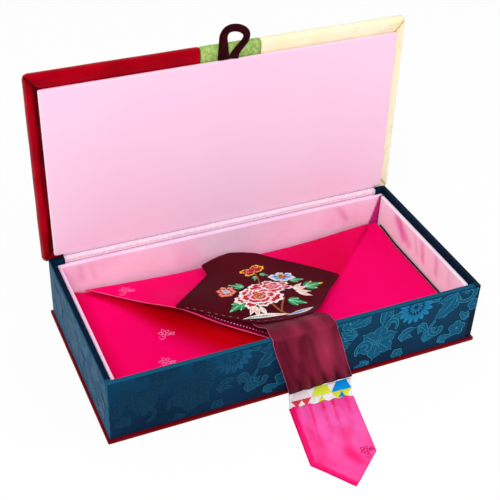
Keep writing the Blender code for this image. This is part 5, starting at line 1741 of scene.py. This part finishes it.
# The sash's paint is painted sheen and painted shade.
sash = cloth("sash_satin", 60, LAST_ROW, (0.0455, 0.106), sash_place, MAROON_SATIN, paint=painted_sash_sheen)
dress(sash, "maroon_silk", "sash_upper")
for name, s in (("left", 0.0), ("right", 1.0)):
    line = [sash_place(s, row / LAST_ROW) for row in range(2, LAST_ROW + 1)]
    piping("sash_piping_" + name, line, SASH_PIPING_RADIUS, SASH_PIPING, "maroon_silk")
line = [sash_place(step / 36, 1.0) + Vector((0, 0, 0.0002)) for step in range(37)]
piping("sash_foot_hem", line, FOOT_RADIUS, MAROON_SATIN, "maroon_silk")

# %% [markdown]
# ## Pieced strip
# Between the sash and its tail lies a white strip with three pieced hexagons. Each hexagon has an upper and a lower
# half of another silk, and a small triangle. They are thin slabs: a disc of four corners, moved to its place.

# %% Pieced strip
STRIP_BACK = ((-0.0112, -0.0684), (0.0338, -0.0694))
STRIP_FRONT = ((-0.0165, -0.0809), (0.0264, -0.0847))
BAND_THICKNESS, BAND_LEVEL, BAND_UNEVEN = 0.0006, 0.0006, 0.0001
SLAB_THICKNESS, HALF_LEVEL, TRIANGLE_LEVEL = 0.0004, 0.0012, 0.0015
FIRST_HEXAGON, HEXAGON_STEP, HEXAGON_LENGTH = 0.034, 0.322, 0.318
HEXAGONS = {
    "left": ((PEARL_SILK, "pale_pink_silk"), (CORAL_SILK, "coral_silk"), (WHITE_SILK, "white_silk")),
    "middle": ((YELLOW_SILK, "yellow_green_silk"), (WHITE_SILK, "pale_pink_silk"), (YELLOW_SILK, "yellow_green_silk")),
    "right": ((BLUE_SILK, "blue_silk"), (YELLOW_SILK, "yellow_green_silk"), (BLUE_SILK, "blue_silk")),
}


def strip_place(along, across):
    return between(between(*STRIP_BACK, along), between(*STRIP_FRONT, along), across)


def slab(corners, low, thickness):
    """A flat piece of cloth with straight sides and a soft upper edge."""
    work = bmesh.new()
    made = bmesh.ops.create_circle(work, cap_ends=True, segments=len(corners), radius=1.0)["verts"]
    for vert, corner in zip(made, corners):
        vert.co = (corner[0], corner[1], low)
    tops = points_in(bmesh.ops.extrude_face_region(work, geom=[made[0].link_faces[0]])["geom"])
    bmesh.ops.translate(work, vec=(0, 0, thickness), verts=tops)
    edges = [edge for edge in work.edges if set(edge.verts) <= set(tops)]
    bmesh.ops.bevel(work, geom=edges, offset=thickness * 0.5, offset_type="OFFSET", segments=2, profile=0.5,
                    affect="EDGES", material=-1)
    bmesh.ops.recalc_face_normals(work, faces=work.faces)
    flat_map(work)
    return work


band = cloth("pieced_strip", 40, 10, (0.0455, 0.0125), lambda s, t: Vector(
    (*strip_place(s, t), BAND_LEVEL + BAND_UNEVEN * (1 + ripple((s, t, 0), 0.2)))), WHITE_SILK, BAND_THICKNESS)
dress(band, "white_silk", "patchwork_band")
for index, (name, (upper_silk, lower_silk, inner_silk)) in enumerate(HEXAGONS.items()):
    start = FIRST_HEXAGON + HEXAGON_STEP * index
    end = start + HEXAGON_LENGTH
    shoulder, middle = (end - start) / 4, (start + end) / 2
    upper_half = [strip_place(*place) for place in ((start + shoulder, 0.02), (start, 0.57), (end, 0.57),
                                                    (end - shoulder, 0.02))]
    lower_half = [strip_place(*place) for place in ((start, 0.59), (start + shoulder, 0.985),
                                                    (end - shoulder, 0.985), (end, 0.59))]
    triangle = [strip_place(*place) for place in ((middle, 0.65), (middle - shoulder * 0.7, 0.975),
                                                  (middle + shoulder * 0.7, 0.975))]
    for part, corners, (finish, slot), low in (("upper", upper_half, upper_silk, HALF_LEVEL),
                                               ("lower", lower_half, lower_silk, HALF_LEVEL),
                                               ("triangle", triangle, inner_silk, TRIANGLE_LEVEL)):
        nodes = () if part == "triangle" else ("patch_" + name + "_" + part,)
        patch = piece_from("hexagon_" + name + "_" + part, slab(corners, low, SLAB_THICKNESS), finish)
        dress(patch, slot, *nodes)

# %% [markdown]
# ## Tail
# The sash ends in a pointed tail of hot pink satin, gathered where it is sewn to the strip; the gathers are painted a
# deeper pink as painted shade. A folded hem follows its left and lower left edges, and a small tone on tone blossom
# is woven near its right shoulder.

# %% Tail
TAIL_SEAM = ((-0.0165, -0.0812), (0.0270, -0.0850))
SHOULDERS = ((-0.0247, -0.1280), (0.0177, -0.1318))
TIP = (-0.0070, -0.1522)
TAIL_LEVEL, HEM_RISE, HEM_LIFT = 0.00068, 0.0005, 0.0001
LEFT_HEM, RIGHT_HEM = 0.0006, 0.0004
TAIL_BLOSSOM, TAIL_BLOSSOM_SIZE = (0.0113, -0.1298), 0.0086
TAIL_THREAD, TAIL_LINE, TAIL_LIFT = colour("E40068"), 0.0006, 0.00005
TAIL_STREAKS = ((0.10, 0.030, 0.50), (0.30, 0.022, 0.75), (0.50, 0.030, 0.45), (0.66, 0.020, 0.62), (0.88, 0.035, 0.5))


def tail_plan(s, t):
    hem = between(SHOULDERS[0], TIP, 2 * s) if s < 0.5 else between(TIP, SHOULDERS[1], 2 * s - 1)
    return between(between(*TAIL_SEAM, s), hem, t)


def left_margin(x, y):
    """Distance from the tail's folded edges: the left one and the lower left one."""
    gaps = []
    for start, end in ((TAIL_SEAM[0], SHOULDERS[0]), (SHOULDERS[0], TIP)):
        along = Vector(end) - Vector(start)
        offset = Vector((x, y)) - Vector(start)
        gaps.append(abs(along.x * offset.y - along.y * offset.x) / along.length)
    return min(gaps)


def tail_place(s, t, lift=0.0):
    """Gathers at the seam, a soft puff with small ripples, and the folded hem's step."""
    x, y = tail_plan(s, t)
    fade = 1 - smoothstep(t / 0.45)
    gathers = 0.0013 * fade * math.sin(math.pi * 5 * s + 0.4 * math.sin(9 * s)) ** 2
    puff = 0.0007 * math.sin(math.pi * s) * math.sin(math.pi * min(t * 1.05, 1)) * (1 + ripple((x, y, 0), 0.012))
    puff += 0.0003 * (1 + ripple((x * 1.3, y * 0.6, 3), 0.0036)) * smoothstep(s * 8) * smoothstep((1 - s) * 8)
    hem = HEM_RISE * (1 - smoothstep((left_margin(x, y) - 0.0030) / 0.0008))
    return Vector((x, y, TAIL_LEVEL + gathers + puff + hem + lift))


def tail_streaks(s, t):
    """Painted shade: deeper pink in the gathers. Deeper pink too in a few soft blotches and in the folded edge."""
    x, y = tail_plan(s, t)
    uneven = 0.75 + 0.7 * ripple((x * 1.5, y, 6), 0.006)
    share = sum(uneven * math.exp(-((s - place + 0.08 * t) / wide) ** 2) * (1 - smoothstep(t / reach))
                for place, wide, reach in TAIL_STREAKS)
    share += 0.9 * max(0.0, ripple((x, y * 0.6, 2), 0.009)) + 0.35 * smoothstep((t - 0.35) / 0.6)
    folded = 1 - smoothstep((left_margin(x, y) - 0.0024 - 0.0010 * ripple((x, y, 9), 0.007)) / 0.0020)
    return max(min(share, 0.85), 0.95 * folded)


# The gathers' paint is painted shade.
tail = cloth("tail_satin", 72, 84, (0.0435, 0.061), tail_place, HOT_PINK_SATIN, paint=tail_streaks)
dress(tail, "hot_pink_silk", "sash_tail")

# %% [markdown]
# The tail's blossom takes the height of the nearest point of the satin. Each side's hem is one line, from the seam
# down to the tip and from the tip back up.

# %% Tail blossom and hems
TAIL_POINTS = [tail_place(i / 40, 0.6 + j / 100) for i in range(20, 41) for j in range(41)]


def on_tail(x, y, h):
    nearest = min(TAIL_POINTS, key=lambda point: math.dist(point[:2], (x, y)))
    return x, y, nearest.z + SHEET / 2 + TAIL_LIFT + h


woven_blossom("tail_blossom", TAIL_BLOSSOM, TAIL_BLOSSOM_SIZE, 0.9, TAIL_THREAD, on_tail, "hot_pink_silk", TAIL_LINE)
line = [tail_place(0.0, step / 40, HEM_LIFT) for step in range(41)]
line += [tail_place(0.5 * step / 20, 1.0, HEM_LIFT) for step in range(1, 21)]
piping("tail_hem_left", line, LEFT_HEM, HOT_PINK_HEM, "hot_pink_silk")
line = [tail_place(0.5 + 0.5 * step / 20, 1.0) for step in range(21)]
line += [tail_place(1.0, 1 - step / 40) for step in range(1, 41)]
piping("tail_hem_right", line, RIGHT_HEM, HOT_PINK_HEM, "hot_pink_silk")
